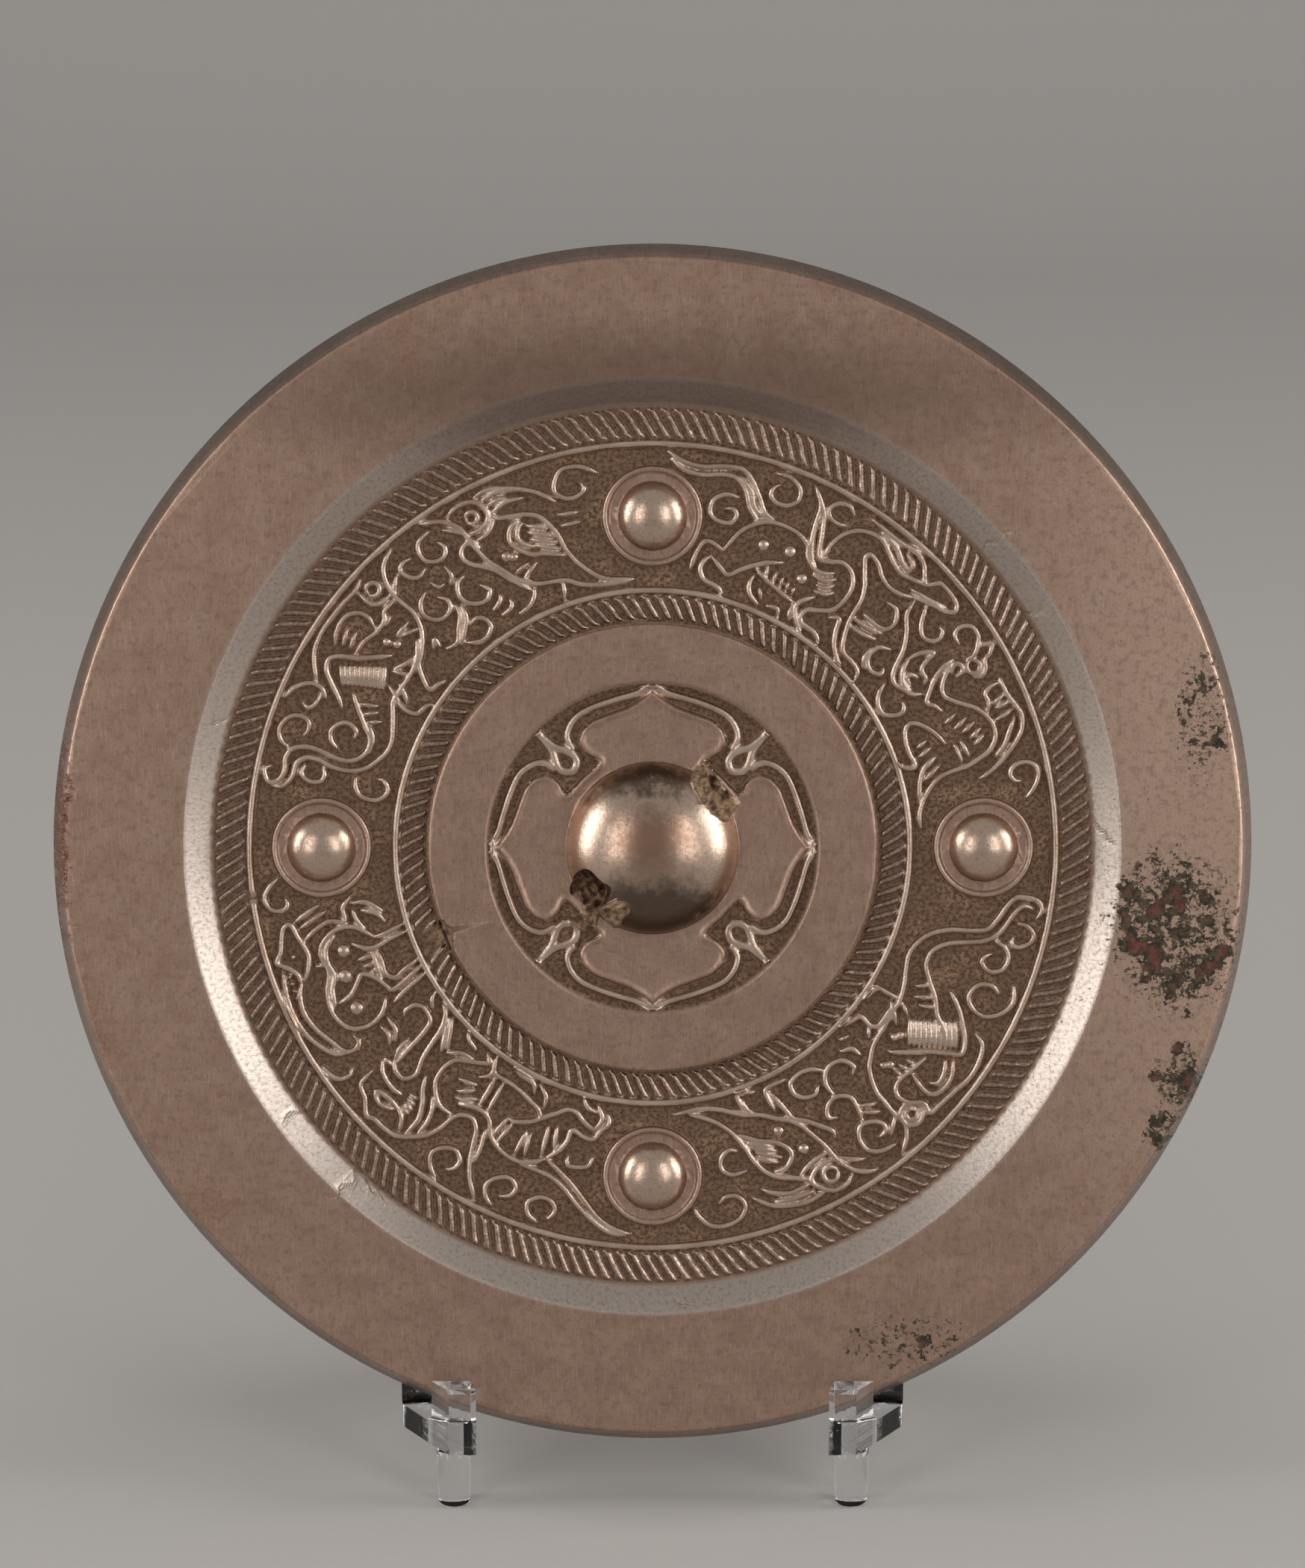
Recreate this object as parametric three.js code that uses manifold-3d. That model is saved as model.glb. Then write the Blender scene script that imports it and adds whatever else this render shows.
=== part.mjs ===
// A cast bronze mirror of Han type, decorated side to the front, leaning back in the two notches of
// a clear acrylic cradle on three pegs.  Millimetres, +Z up.  The decorated side looks towards -Y,
// and the origin is on the ground under the middle of the whole.
import * as THREE from 'three';
import { mergeVertices } from 'three/addons/utils/BufferGeometryUtils.js';
import Module from 'manifold-3d';

const wasm = await Module();
wasm.setup();

// ---- Driving dimensions -------------------------------------------------------------------------

// Mirror: radii from the centre, heights above the plane of the reflecting edge.
const RIM_RADIUS = 80;            // reflecting edge
const RIM_TOP_RADIUS = 78.1;      // edge of the decorated side, the edge between them slopes
const RIM_INNER = 62;             // flat rim ends, bevel starts
const RIM_HEIGHT = 6;
const REFLECTING_SAG = 1.2;       // the polished side is slightly convex
const BEVEL_FOOT = 58.4;
const THREAD_OUTER = 53.6;        // raised thread between the outer comb band and the figures
const THREAD_INNER = 34.2;        // raised thread between the figures and the inner comb band
const THREAD_HALF = 0.45;
const THREAD_HEIGHT = 3.6;
const COMB_VALLEY = 2.75;
const COMB_CREST = 3.4;
const TOOTH_HALF = 0.95;          // half width of a tooth at its foot
const COMB_SLANT = 1.8;           // degrees that the outer end of a tooth is turned
const OUTER_TEETH = 84;          // coarser than the casting's own fine comb
const INNER_TEETH = 54;
const FIELD = 2.6;                // ground of the figures
const RING_OUTER = 29.8;          // raised flat ring round the inner field
const RING_INNER = 22.1;
const RING_HEIGHT = 4.3;
const INNER_FIELD = 3.0;          // ground of the four leaves
const INNER_FIELD_RADIUS = 21.2;
const LEAF_HEIGHT = 4.0;
const KNOB_RADIUS = 11.5;
const KNOB_TOP = 11.5;
const NIPPLE_CIRCLE = 44;         // circle of the four nipple centres
const NIPPLE_DISC = 6.9;
const NIPPLE_DOME = 4.4;
const NIPPLE_EDGE = 3.5;          // raised edge of the nipple's disc
const NIPPLE_FLOOR = 3.1;         // the disc's surface round the dome
const NIPPLE_TOP = 6.1;
const STROKE_HALF = 0.55;         // half width of a figure's raised line at its foot
const STROKE_HEIGHT = 0.75;
const STROKE_SUNK = 0.35;         // how far a line's foot is buried in the ground
const STROKE_STEP = 5;            // length of one straight stretch of a line
const BOSS_SIZE = 0.8;            // radius and height of a spot on a beast's flank
const ROUND_SIDES = 60;

// Cradle: cemented clear acrylic, heights above the ground.
const CLEARANCE = 0.3;            // gap kept between pieces that touch
const PEG_RADIUS_TOP = 2.35;
const PEG_RADIUS_FOOT = 2.15;
const PEG_SPACING = 53.1;
const PEG_INSET = 3.3;            // front pegs, behind the lugs' front faces
const BAR_BOTTOM = 8.2;
const BAR_TOP = 15.2;
const LUG_TOP = 17.4;
const BAR_WIDTH = 6;
const RING_RADIUS = 33.8;         // outside of the horseshoe
const RING_CENTRE = 17;           // its middle, behind the front faces of the lugs
const LUG_INNER = 23.4;           // lug's inner side, out from the middle
const LUG_FACE = 3.6;              // width of its front face
const LUG_DEPTH = 3.4;
const LUG_FLAT = 2.2;             // straight part of the lug's inner side
const LUG_LENGTH = 8.8;           // the slanted lug ends and the straight bar begins
const NOTCH_WIDTH = 7.6;
const NOTCH_BOTTOM = 11.4;
const NOTCH_ROUND = 1.5;
const ARM_WIDTH = 12;
const ARM_THICKNESS = 5;
const ARM_REACH = 30;             // the arm meets the mirror this far below its centre
const ARM_TOP_Y = 14;             // the arm's upper end, before it is cut along the mirror
const ARM_BEND = 24;              // the arm rises this far almost straight, then bows forward

const LEAN = THREE.MathUtils.degToRad(12.5);
const STAND_DEPTH = RING_CENTRE + RING_RADIUS;
const FRONT = -STAND_DEPTH / 2;   // y of the lugs' front faces
const MIRROR_Y = FRONT + 26;      // middle of the reflecting edge
const NOTCH_REST = 27.8;          // the rim rests where the bar's inner side crosses the notch
const MIRROR_Z = NOTCH_BOTTOM + CLEARANCE
  + Math.sqrt(RIM_RADIUS ** 2 - NOTCH_REST ** 2) * Math.cos(LEAN);

// ---- Materials ----------------------------------------------------------------------------------

const bronze = new THREE.MeshStandardMaterial({ color: 0x7a6a5c, roughness: 0.42, metalness: 0.85 });
const acrylic = new THREE.MeshStandardMaterial({
  color: 0xe8eef2, roughness: 0.08, metalness: 0, transparent: true, opacity: 0.45,
});

// ---- From geometry to solid and back ------------------------------------------------------------

function toSolid(geometry) {
  const bare = geometry.clone();
  bare.deleteAttribute('normal');
  bare.deleteAttribute('uv');
  const merged = mergeVertices(bare, 1e-4);
  const index = merged.index.array;
  const triangles = [];
  for (let i = 0; i < index.length; i += 3) {
    const [a, b, c] = [index[i], index[i + 1], index[i + 2]];
    if (a !== b && b !== c && c !== a) triangles.push(a, b, c);
  }
  return new wasm.Manifold(new wasm.Mesh({
    numProp: 3,
    vertProperties: new Float32Array(merged.attributes.position.array),
    triVerts: new Uint32Array(triangles),
  }));
}

function toGeometry(solid) {
  const mesh = solid.getMesh();
  const geometry = new THREE.BufferGeometry();
  geometry.setAttribute('position', new THREE.BufferAttribute(new Float32Array(mesh.vertProperties), 3));
  geometry.setIndex(new THREE.BufferAttribute(new Uint32Array(mesh.triVerts), 1));
  geometry.computeVertexNormals();
  return geometry;
}

// A turned body: the profile is [radius, height] pairs from the axis round to the axis.
function turned(profile, sides = ROUND_SIDES) {
  const points = profile.map(([radius, height]) => new THREE.Vector2(radius, height));
  return new THREE.LatheGeometry(points, sides).rotateX(Math.PI / 2);
}

// A closed body from rings of points, each ring joined to the next one and the two ends capped.
function skin(rings) {
  const sides = rings[0].length;
  const positions = rings.flat().flatMap((point) => point);
  const index = [];
  for (let i = 0; i < rings.length - 1; i += 1) {
    const near = i * sides;
    const far = near + sides;
    for (let j = 0; j < sides; j += 1) {
      const next = (j + 1) % sides;
      index.push(near + j, near + next, far + j, near + next, far + next, far + j);
    }
  }
  const end = (rings.length - 1) * sides;
  for (let j = 1; j < sides - 1; j += 1) {
    index.push(0, j + 1, j, end, end + j, end + j + 1);
  }
  const geometry = new THREE.BufferGeometry();
  geometry.setAttribute('position', new THREE.Float32BufferAttribute(positions, 3));
  geometry.setIndex(index);
  return geometry;
}

// ---- Mirror: turned casting ---------------------------------------------------------------------

function castBlank() {
  return toSolid(turned([
    [0, -REFLECTING_SAG],
    [RIM_RADIUS * 0.5, -REFLECTING_SAG * 0.75],
    [RIM_RADIUS, 0],
    [RIM_TOP_RADIUS, RIM_HEIGHT],
    [RIM_INNER, RIM_HEIGHT],
    [BEVEL_FOOT, COMB_VALLEY],
    [THREAD_OUTER + THREAD_HALF, COMB_VALLEY],
    [THREAD_OUTER, THREAD_HEIGHT],
    [THREAD_OUTER - THREAD_HALF, FIELD],
    [THREAD_INNER + THREAD_HALF, FIELD],
    [THREAD_INNER, THREAD_HEIGHT],
    [THREAD_INNER - THREAD_HALF, COMB_VALLEY],
    [RING_OUTER + 0.3, COMB_VALLEY],
    [RING_OUTER, RING_HEIGHT],
    [RING_INNER, RING_HEIGHT],
    [INNER_FIELD_RADIUS, INNER_FIELD],
    [0, INNER_FIELD],
  ]));
}

function knob() {
  const steps = 6;
  const profile = [[0, 1], [KNOB_RADIUS, 1]];
  for (let i = 0; i < steps; i += 1) {
    const turn = (i / steps) * Math.PI / 2;
    const height = INNER_FIELD + (KNOB_TOP - INNER_FIELD) * Math.sin(turn);
    profile.push([KNOB_RADIUS * Math.cos(turn), height]);
  }
  return toSolid(turned([...profile, [0, KNOB_TOP]], 28));
}

// Slanted low teeth side by side round the band between two radii.
function combBand(inner, outer, teeth) {
  const height = COMB_CREST - COMB_VALLEY;
  return Array.from({ length: teeth }, (_, k) => {
    const degrees = (k * 360) / teeth;
    const line = polar([[degrees, inner], [degrees + COMB_SLANT, outer]]);
    return ridge(line, COMB_VALLEY, TOOTH_HALF, height, 0.85);
  });
}

function nipple(quarter) {
  const disc = turned([
    [0, 1],
    [NIPPLE_DISC, 1],
    [NIPPLE_DISC - 0.3, NIPPLE_EDGE],
    [NIPPLE_DISC - 1.2, NIPPLE_FLOOR],
    [NIPPLE_DOME, NIPPLE_FLOOR],
    [NIPPLE_DOME * 0.7, NIPPLE_TOP - 0.9],
    [0, NIPPLE_TOP],
  ], 16);
  const angle = (quarter * Math.PI) / 2;
  disc.translate(NIPPLE_CIRCLE * Math.cos(angle), NIPPLE_CIRCLE * Math.sin(angle), 0);
  return toSolid(disc);
}

// ---- Mirror: raised lines -----------------------------------------------------------------------

// A raised line with a three-cornered section along a smooth curve through flat [x, y] points,
// its two ends drawn in to the given share of its size.
function ridge(points, ground, half = STROKE_HALF, height = STROKE_HEIGHT, end = 0.55) {
  const curve = new THREE.CatmullRomCurve3(points.map(([x, y]) => new THREE.Vector3(x, y, 0)));
  const steps = Math.max(points.length - 1, Math.round(curve.getLength() / STROKE_STEP));
  const rings = [];
  for (let i = 0; i <= steps; i += 1) {
    const at = curve.getPointAt(i / steps);
    const along = curve.getTangentAt(i / steps);
    const taper = i === 0 || i === steps ? end : 1;
    const across = new THREE.Vector3(-along.y, along.x, 0).multiplyScalar(half * taper);
    rings.push([
      [at.x - across.x, at.y - across.y, ground - STROKE_SUNK],
      [at.x + across.x, at.y + across.y, ground - STROKE_SUNK],
      [at.x, at.y, ground + height * taper],
    ]);
  }
  return toSolid(skin(rings));
}

// Polar [degrees, radius] points, turned by some degrees, as flat [x, y] points.
function polar(points, turn = 0) {
  return points.map(([degrees, radius]) => {
    const angle = THREE.MathUtils.degToRad(degrees + turn);
    return [radius * Math.cos(angle), radius * Math.sin(angle)];
  });
}

// A small round boss, such as the spots on a beast's flank.
function boss([degrees, radius], turn) {
  const [[x, y]] = polar([[degrees, radius]], turn);
  const foot = FIELD - STROKE_SUNK;
  const dome = turned([[0, foot], [BOSS_SIZE, foot], [0, FIELD + BOSS_SIZE]], 6);
  return toSolid(dome.translate(x, y, 0));
}

// A row of short parallel bars, from one end bar [outer point, inner point] to the other.
function bars([firstA, firstB], [lastA, lastB], count) {
  const mix = (from, to, share) => from.map((value, i) => value + (to[i] - value) * share);
  return Array.from({ length: count }, (_, i) => {
    const share = i / (count - 1);
    return [mix(firstA, lastA, share), mix(firstB, lastB, share)];
  });
}

// A curl: about three quarters of a turn round a centre, opening at the given heading.
function curl(degrees, radius, size, heading, hand = 1) {
  const points = [];
  for (let i = 0; i <= 4; i += 1) {
    const turn = THREE.MathUtils.degToRad(heading + hand * i * 66);
    const spread = size * (1 - 0.09 * i);
    const across = THREE.MathUtils.radToDeg((spread * Math.cos(turn)) / radius);
    points.push([degrees - across, radius + spread * Math.sin(turn)]);
  }
  return points;
}

// Each figure: its raised lines as [degrees, radius] points along the band, and its bosses.
const stridingBeast = {
  copies: [0, 180],
  lines: [
    [[87.7, 52.6], [82.7, 51], [76.6, 51.6], [72.8, 48.3], [69.6, 46.4]],
    [[76.6, 40.6], [72, 45.3], [65.4, 46], [61.9, 43.7], [56.5, 43.7]],
    [[76.4, 40.5], [79.8, 41.4], [82.4, 37.3]],
    [[79.6, 38.9], [79.2, 36.3], [74.7, 34.9]],
    [[78.6, 39.5], [74.6, 37.6], [70.6, 39.7], [65.4, 41.6]],
    [[69.8, 39.6], [65.1, 38.2], [60.2, 37.5]],
    [[65.6, 52.5], [63.3, 48.1], [60.6, 44.4]],
    [[58.1, 44.7], [53.9, 44.9], [52.3, 41.2], [57.3, 37.2], [51, 34.9]],
    [[59.5, 44.8], [58.7, 48.6], [55.2, 50.8], [49.8, 49.5], [44, 50.3]],
    [[44, 47.9], [47.8, 46.7], [53.3, 48.3], [50.4, 43.6], [47.7, 37.8], [40.6, 35.8]],
    [[56.2, 52.4], [50.7, 52.4], [46.2, 52]],
    [[43.9, 50.4], [42.4, 51.9], [38.6, 51.6], [39, 49.9], [43.6, 48.1]],
    curl(44.6, 43.5, 1.7, 60),
    curl(77.8, 46.1, 2, 150, -1),
    curl(69.5, 50.5, 1.9, 100),
  ],
  bosses: [[69.9, 42.8], [65.1, 43.3], [61, 40.8]],
};

const scrolls = {
  copies: [0],
  lines: [
    [[43.3, 47.3], [38.3, 42.4], [34.2, 38.8], [29.7, 41.2]],
    [[36.6, 41.8], [34.8, 45.4], [31.1, 42.1]],
    curl(38.4, 46.8, 1.9, 120),
    curl(39.6, 39, 1.6, 90),
    curl(31.4, 37, 1.8, 150),
  ],
  bosses: [],
};

const winglessFeline = {
  copies: [0],
  lines: [
    curl(33.4, 50.2, 1.7, 260, 1),
    [[31.3, 52.4], [29.5, 50.7], [28, 48.3]],
    [[32.2, 47.1], [31, 43.7], [27.9, 41.2], [25.2, 42.5]],
    [[30.6, 45.2], [27.4, 43.7], [21.7, 47.6], [17.8, 47.8], [14.5, 43], [9.2, 36.3], [4.1, 35.8]],
    [[26.2, 51.3], [19.8, 52.1], [16.2, 50.2], [11.9, 44.4]],
    [[19.4, 41.3], [25.2, 38.8], [20.4, 36.3], [18.6, 34.8]],
    curl(10.6, 50.2, 1.8, 200, -1),
    ...bars([[23.9, 43.9], [23, 42.2]], [[18.8, 46.2], [17.8, 44.9]], 3),
  ],
  bosses: [[29.5, 48.9]],
};

const crestedBird = {
  copies: [0, 180],
  lines: [
    [[125.8, 52.9], [122.1, 50.8], [120.3, 45.4], [116.8, 40], [107.8, 37.3], [94.1, 35.6]],
    curl(118.9, 50, 2, 330),
    [[117.4, 52.4], [112.3, 51.5], [105.6, 47.6]],
    [[115.4, 50.4], [110.4, 49.6]],
    [[116, 48.2], [110.7, 47.3], [107.5, 44.7], [104.8, 39.3], [99, 36.7]],
    [[112, 46.4], [114.8, 44.6], [112.3, 42.1], [106.6, 40.5]],
    [[121.5, 46.6], [123, 45.4], [119.4, 42.2]],
    ...bars([[111.7, 45.2], [107.9, 44]], [[111.6, 43.4], [107.4, 42.2]], 2),
    curl(102.6, 49.6, 1.9, 200, -1),
    curl(126.3, 49.4, 1.9, 150, -1),
    curl(132, 43.3, 2, 80, -1),
    curl(124.8, 41.8, 2, 80, -1),
    curl(128.6, 37, 1.9, 20, 1),
    [[129, 41], [131.5, 38.8], [136, 38]],
  ],
  bosses: [[118.8, 50], [116.3, 43.2]],
};

const wingedBeast = {
  copies: [0, 180],
  lines: [
    [[170.6, 52], [168.2, 49.6], [164.4, 48.6], [164.1, 42.2], [159, 40.2], [152.6, 44.7]],
    [[166.8, 45.2], [162.8, 38.5], [155.1, 38], [147.8, 39.5], [138.5, 41.5]],
    [[155.8, 45.1], [151.3, 49.3], [148.4, 48.6], [143.6, 43]],
    [[153.8, 50], [149.4, 52], [142, 52.5]],
    [[147, 49.6], [143.3, 51], [140.6, 47.4]],
    [[146.8, 47], [139.8, 46.6], [136.4, 47.4]],
    [[131.2, 52.6], [134.7, 50.5], [135.4, 44.7], [139.2, 40.6]],
    [[141.8, 39], [144.6, 36.6], [141, 35.1]],
    [[149.4, 38.8], [150.3, 36], [146.8, 34.9]],
    ...bars([[151.6, 45.8], [149.8, 47.4]], [[149.6, 41.6], [146, 43]], 4),
    curl(161.9, 50.2, 1.8, 200, 1),
    curl(168.8, 46, 1.2, 120, -1),
    curl(159.8, 43.8, 1.5, 20, 1),
    curl(168.2, 38.2, 2, 110, -1),
    curl(155.8, 50, 1.9, 90, 1),
  ],
  bosses: [[137.4, 50.4], [142.2, 44.4]],
};

const hornedBeast = {
  copies: [0],
  lines: [
    [[209.5, 40.8], [212.1, 45.1], [208, 48], [198.5, 46.4], [194.6, 42.7], [197.8, 39.4]],
    [[195.1, 47.8], [193, 44.1], [189.2, 40.8]],
    [[191.8, 48.4], [189.8, 45.1]],
    [[200.6, 50.7], [197.2, 52.2], [192.3, 49.6], [199, 48.5]],
    [[202, 50.6], [208.4, 51], [214, 48.4]],
    [[211.5, 52], [205.5, 52.7], [200, 52.6]],
    [[206.4, 45.4], [203.6, 42.4], [208.6, 39.4], [207.1, 34.9]],
    [[205.4, 35], [206.4, 38.2], [200.6, 39.2]],
    [[198.6, 41.8], [199.8, 39], [198.8, 34.9]],
    [[190.6, 40.2], [193.4, 36.8]],
    curl(187.3, 50.4, 1.7, 200, -1),
  ],
  bosses: [[208.6, 44.6], [202.8, 44.4], [198.8, 43.6], [197, 50.2]],
};

function figures() {
  const cast = [stridingBeast, scrolls, winglessFeline, crestedBird, wingedBeast, hornedBeast];
  return cast.flatMap((figure) => figure.copies.flatMap((turn) => [
    ...figure.lines.map((line) => ridge(polar(line, turn), FIELD)),
    ...figure.bosses.map((spot) => boss(spot, turn)),
  ]));
}

// ---- Mirror: inner field ------------------------------------------------------------------------

// Half of one leaf's outline, [along the leaf, across it], from the tip to the corner by the knob.
const LEAF_HALF = [[20.5, 0], [19.2, 1.8], [18.3, 4], [17.2, 7], [15.9, 8.7], [14.3, 9.3],
  [12.6, 8.8], [11.2, 6.8]];
const LEAF_THREAD = [[20.6, 1.3], [19.9, 2.9], [19.1, 5.5], [18.2, 8.6], [16.6, 10.6], [14.5, 11.2]];

function turnFlat([x, y], quarter) {
  const angle = (quarter * Math.PI) / 2;
  return [x * Math.cos(angle) - y * Math.sin(angle), x * Math.sin(angle) + y * Math.cos(angle)];
}

function fourLeaves() {
  const outline = [0, 1, 2, 3].flatMap((quarter) => [
    ...LEAF_HALF.slice(1).reverse().map(([x, y]) => turnFlat([x, -y], quarter)),
    ...LEAF_HALF.map((point) => turnFlat(point, quarter)),
  ]);
  const shape = new THREE.Shape(outline.map(([x, y]) => new THREE.Vector2(x, y)));
  const plate = new THREE.ExtrudeGeometry(shape, { depth: LEAF_HEIGHT - 2, bevelEnabled: false });
  return toSolid(plate.translate(0, 0, 2));
}

function leafThreads() {
  return [0, 1, 2, 3].flatMap((quarter) => [1, -1].map((side) => {
    const line = LEAF_THREAD.map(([x, y]) => turnFlat([x, side * y], quarter));
    return ridge(line, INNER_FIELD, 0.45, 0.7);
  }));
}

// A drop on each diagonal, its point outwards, made of a left and a right line.
function drops() {
  return [45, 135, 225, 315].flatMap((degrees) => [1, -1].map((side) => ridge(polar([
    [degrees, 20.8],
    [degrees + side * 3, 18.6],
    [degrees + side * 6.6, 16.6],
    [degrees + side * 3, 14.7],
  ]), INNER_FIELD, 0.5, 0.8)));
}

// The cord hole: open at the lower left, stopped by a burr at the upper right.
const BORE_HEADING = THREE.MathUtils.degToRad(214);
const BORE_HEIGHT = 5.9;
const BORE_HALF = [2.2, 2.5];

function cordHole() {
  const length = 20;
  const bore = new THREE.CylinderGeometry(1, 1, length, 10).rotateX(Math.PI / 2);
  bore.scale(BORE_HALF[1], BORE_HALF[0], 1);
  bore.rotateY(Math.PI / 2).rotateZ(BORE_HEADING);
  const reach = length / 2 - 5.5;
  return toSolid(bore.translate(
    reach * Math.cos(BORE_HEADING),
    reach * Math.sin(BORE_HEADING),
    BORE_HEIGHT,
  ));
}

function burr() {
  const lump = new THREE.SphereGeometry(1, 8, 5).scale(1.7, 3.4, 2.2);
  lump.rotateZ(BORE_HEADING - Math.PI);
  const reach = -KNOB_RADIUS + 1.6;
  return toSolid(lump.translate(
    reach * Math.cos(BORE_HEADING),
    reach * Math.sin(BORE_HEADING),
    BORE_HEIGHT - 0.6,
  ));
}

// A chip out of the flat ring's outer edge.
function chip() {
  const [[x, y]] = polar([[203, RING_OUTER + 0.6]]);
  const bite = new THREE.SphereGeometry(1, 7, 5).scale(1.2, 1.9, 1.2);
  return toSolid(bite.rotateZ(THREE.MathUtils.degToRad(203)).translate(x, y, RING_HEIGHT + 0.3));
}

function mirrorGeometry() {
  const { Manifold } = wasm;
  const casting = Manifold.union([
    castBlank(),
    knob(),
    ...combBand(THREAD_OUTER + 0.6, BEVEL_FOOT - 0.2, OUTER_TEETH),
    ...combBand(RING_OUTER + 0.5, THREAD_INNER - 0.6, INNER_TEETH),
    ...[0, 1, 2, 3].map(nipple),
    ...figures(),
    fourLeaves(),
    ...leafThreads(),
    ...drops(),
    burr(),
  ]);
  return toGeometry(casting.subtract(cordHole()).subtract(chip()));
}

// ---- Cradle -------------------------------------------------------------------------------------

// The horseshoe's outline seen from above, front faces at y = 0.
function horseshoeShape() {
  const inner = RING_RADIUS - BAR_WIDTH;
  const cornerStart = [RING_RADIUS - 0.8, LUG_LENGTH - 0.4];
  const cornerEnd = [RING_RADIUS, LUG_LENGTH + 2.6];
  const shape = new THREE.Shape();
  shape.moveTo(LUG_INNER, 0);
  shape.lineTo(LUG_INNER + LUG_FACE, 0);
  shape.lineTo(cornerStart[0], cornerStart[1]);
  shape.quadraticCurveTo(RING_RADIUS, LUG_LENGTH + 0.8, cornerEnd[0], cornerEnd[1]);
  shape.lineTo(RING_RADIUS, RING_CENTRE);
  shape.absarc(0, RING_CENTRE, RING_RADIUS, 0, Math.PI, false);
  shape.lineTo(-cornerEnd[0], cornerEnd[1]);
  shape.quadraticCurveTo(-RING_RADIUS, LUG_LENGTH + 0.8, -cornerStart[0], cornerStart[1]);
  shape.lineTo(-LUG_INNER - LUG_FACE, 0);
  shape.lineTo(-LUG_INNER, 0);
  shape.lineTo(-LUG_INNER, LUG_FLAT);
  shape.lineTo(-inner, LUG_LENGTH);
  shape.lineTo(-inner, RING_CENTRE);
  shape.absarc(0, RING_CENTRE, inner, Math.PI, 0, true);
  shape.lineTo(inner, LUG_LENGTH);
  shape.lineTo(LUG_INNER, LUG_FLAT);
  shape.closePath();
  return shape;
}

// A bar across the whole stand with the given [y, z] section, y from the lugs' front faces.
function crossBar(section, halfLength) {
  const shape = new THREE.Shape(section.map(([y, z]) => new THREE.Vector2(y, z)));
  const bar = new THREE.ExtrudeGeometry(shape, { depth: 2 * halfLength, bevelEnabled: false });
  bar.translate(0, 0, -halfLength);
  bar.applyMatrix4(new THREE.Matrix4().set(0, 0, 1, 0, 1, 0, 0, FRONT, 0, 1, 0, 0, 0, 0, 0, 1));
  return toSolid(bar);
}

function ringGeometry() {
  const height = LUG_TOP - BAR_BOTTOM;
  const blank = new THREE.ExtrudeGeometry(horseshoeShape(), {
    depth: height, bevelEnabled: false, curveSegments: 20,
  });
  const bevel = 0.5;
  const aboveRing = crossBar([
    [LUG_DEPTH, BAR_TOP],
    [STAND_DEPTH + 1, BAR_TOP],
    [STAND_DEPTH + 1, LUG_TOP + 1],
    [LUG_DEPTH, LUG_TOP + 1],
  ], RING_RADIUS + 1);
  const bevelCut = crossBar([
    [-1, LUG_TOP - bevel - 1],
    [bevel + 1, LUG_TOP + 1],
    [-1, LUG_TOP + 1],
  ], RING_RADIUS + 1);
  const section = [[LUG_DEPTH, LUG_TOP + 1]];
  for (let i = 0; i <= 4; i += 1) {
    const turn = (i / 4) * Math.PI / 2;
    section.push([
      LUG_DEPTH + NOTCH_ROUND * (1 - Math.cos(turn)),
      NOTCH_BOTTOM + NOTCH_ROUND * (1 - Math.sin(turn)),
    ]);
  }
  for (let i = 0; i <= 4; i += 1) {
    const turn = (i / 4) * Math.PI / 2;
    section.push([
      LUG_DEPTH + NOTCH_WIDTH - NOTCH_ROUND * (1 - Math.sin(turn)),
      NOTCH_BOTTOM + NOTCH_ROUND * (1 - Math.cos(turn)),
    ]);
  }
  section.push([LUG_DEPTH + NOTCH_WIDTH, LUG_TOP + 1]);
  const notch = crossBar(section, RING_RADIUS + 1);
  const ring = toSolid(blank.translate(0, FRONT, BAR_BOTTOM));
  return toGeometry(ring.subtract(aboveRing).subtract(bevelCut).subtract(notch));
}

function pegGeometry() {
  const height = BAR_BOTTOM - CLEARANCE;
  return turned([
    [0, 0],
    [PEG_RADIUS_FOOT - 0.3, 0],
    [PEG_RADIUS_FOOT, 0.3],
    [PEG_RADIUS_TOP, height],
    [0, height],
  ], 20);
}

// A curved strip standing on the back of the horseshoe, its top cut to lie along the mirror.
function armGeometry() {
  const middle = STAND_DEPTH - BAR_WIDTH / 2;
  const foot = new THREE.Vector2(middle, BAR_TOP + CLEARANCE);
  const bend = new THREE.Vector2(middle - 1, BAR_TOP + ARM_BEND);
  const top = new THREE.Vector2(ARM_TOP_Y, MIRROR_Z - ARM_REACH + 4);
  const curve = new THREE.QuadraticBezierCurve(foot, bend, top);
  const side = (sign) => Array.from({ length: 9 }, (_, i) => {
    const at = curve.getPoint(i / 8);
    const along = curve.getTangent(i / 8);
    return [at.x - (sign * along.y * ARM_THICKNESS) / 2, at.y + (sign * along.x * ARM_THICKNESS) / 2];
  });
  const strip = crossBar([...side(-1), ...side(1).reverse()], ARM_WIDTH / 2);
  const keepOut = new THREE.BoxGeometry(100, 160, 20);
  keepOut.translate(0, 0, 10 - REFLECTING_SAG - CLEARANCE);
  keepOut.rotateX(Math.PI / 2 - LEAN).translate(0, MIRROR_Y, MIRROR_Z);
  return toGeometry(strip.subtract(toSolid(keepOut)));
}

// ---- The whole ----------------------------------------------------------------------------------

const group = new THREE.Group();

function piece(name, geometry, material) {
  const mesh = new THREE.Mesh(geometry, material);
  mesh.name = name;
  group.add(mesh);
  return mesh;
}

const mirror = piece('mirror', mirrorGeometry(), bronze);
mirror.rotation.x = Math.PI / 2 - LEAN;
mirror.position.set(0, MIRROR_Y, MIRROR_Z);

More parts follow.
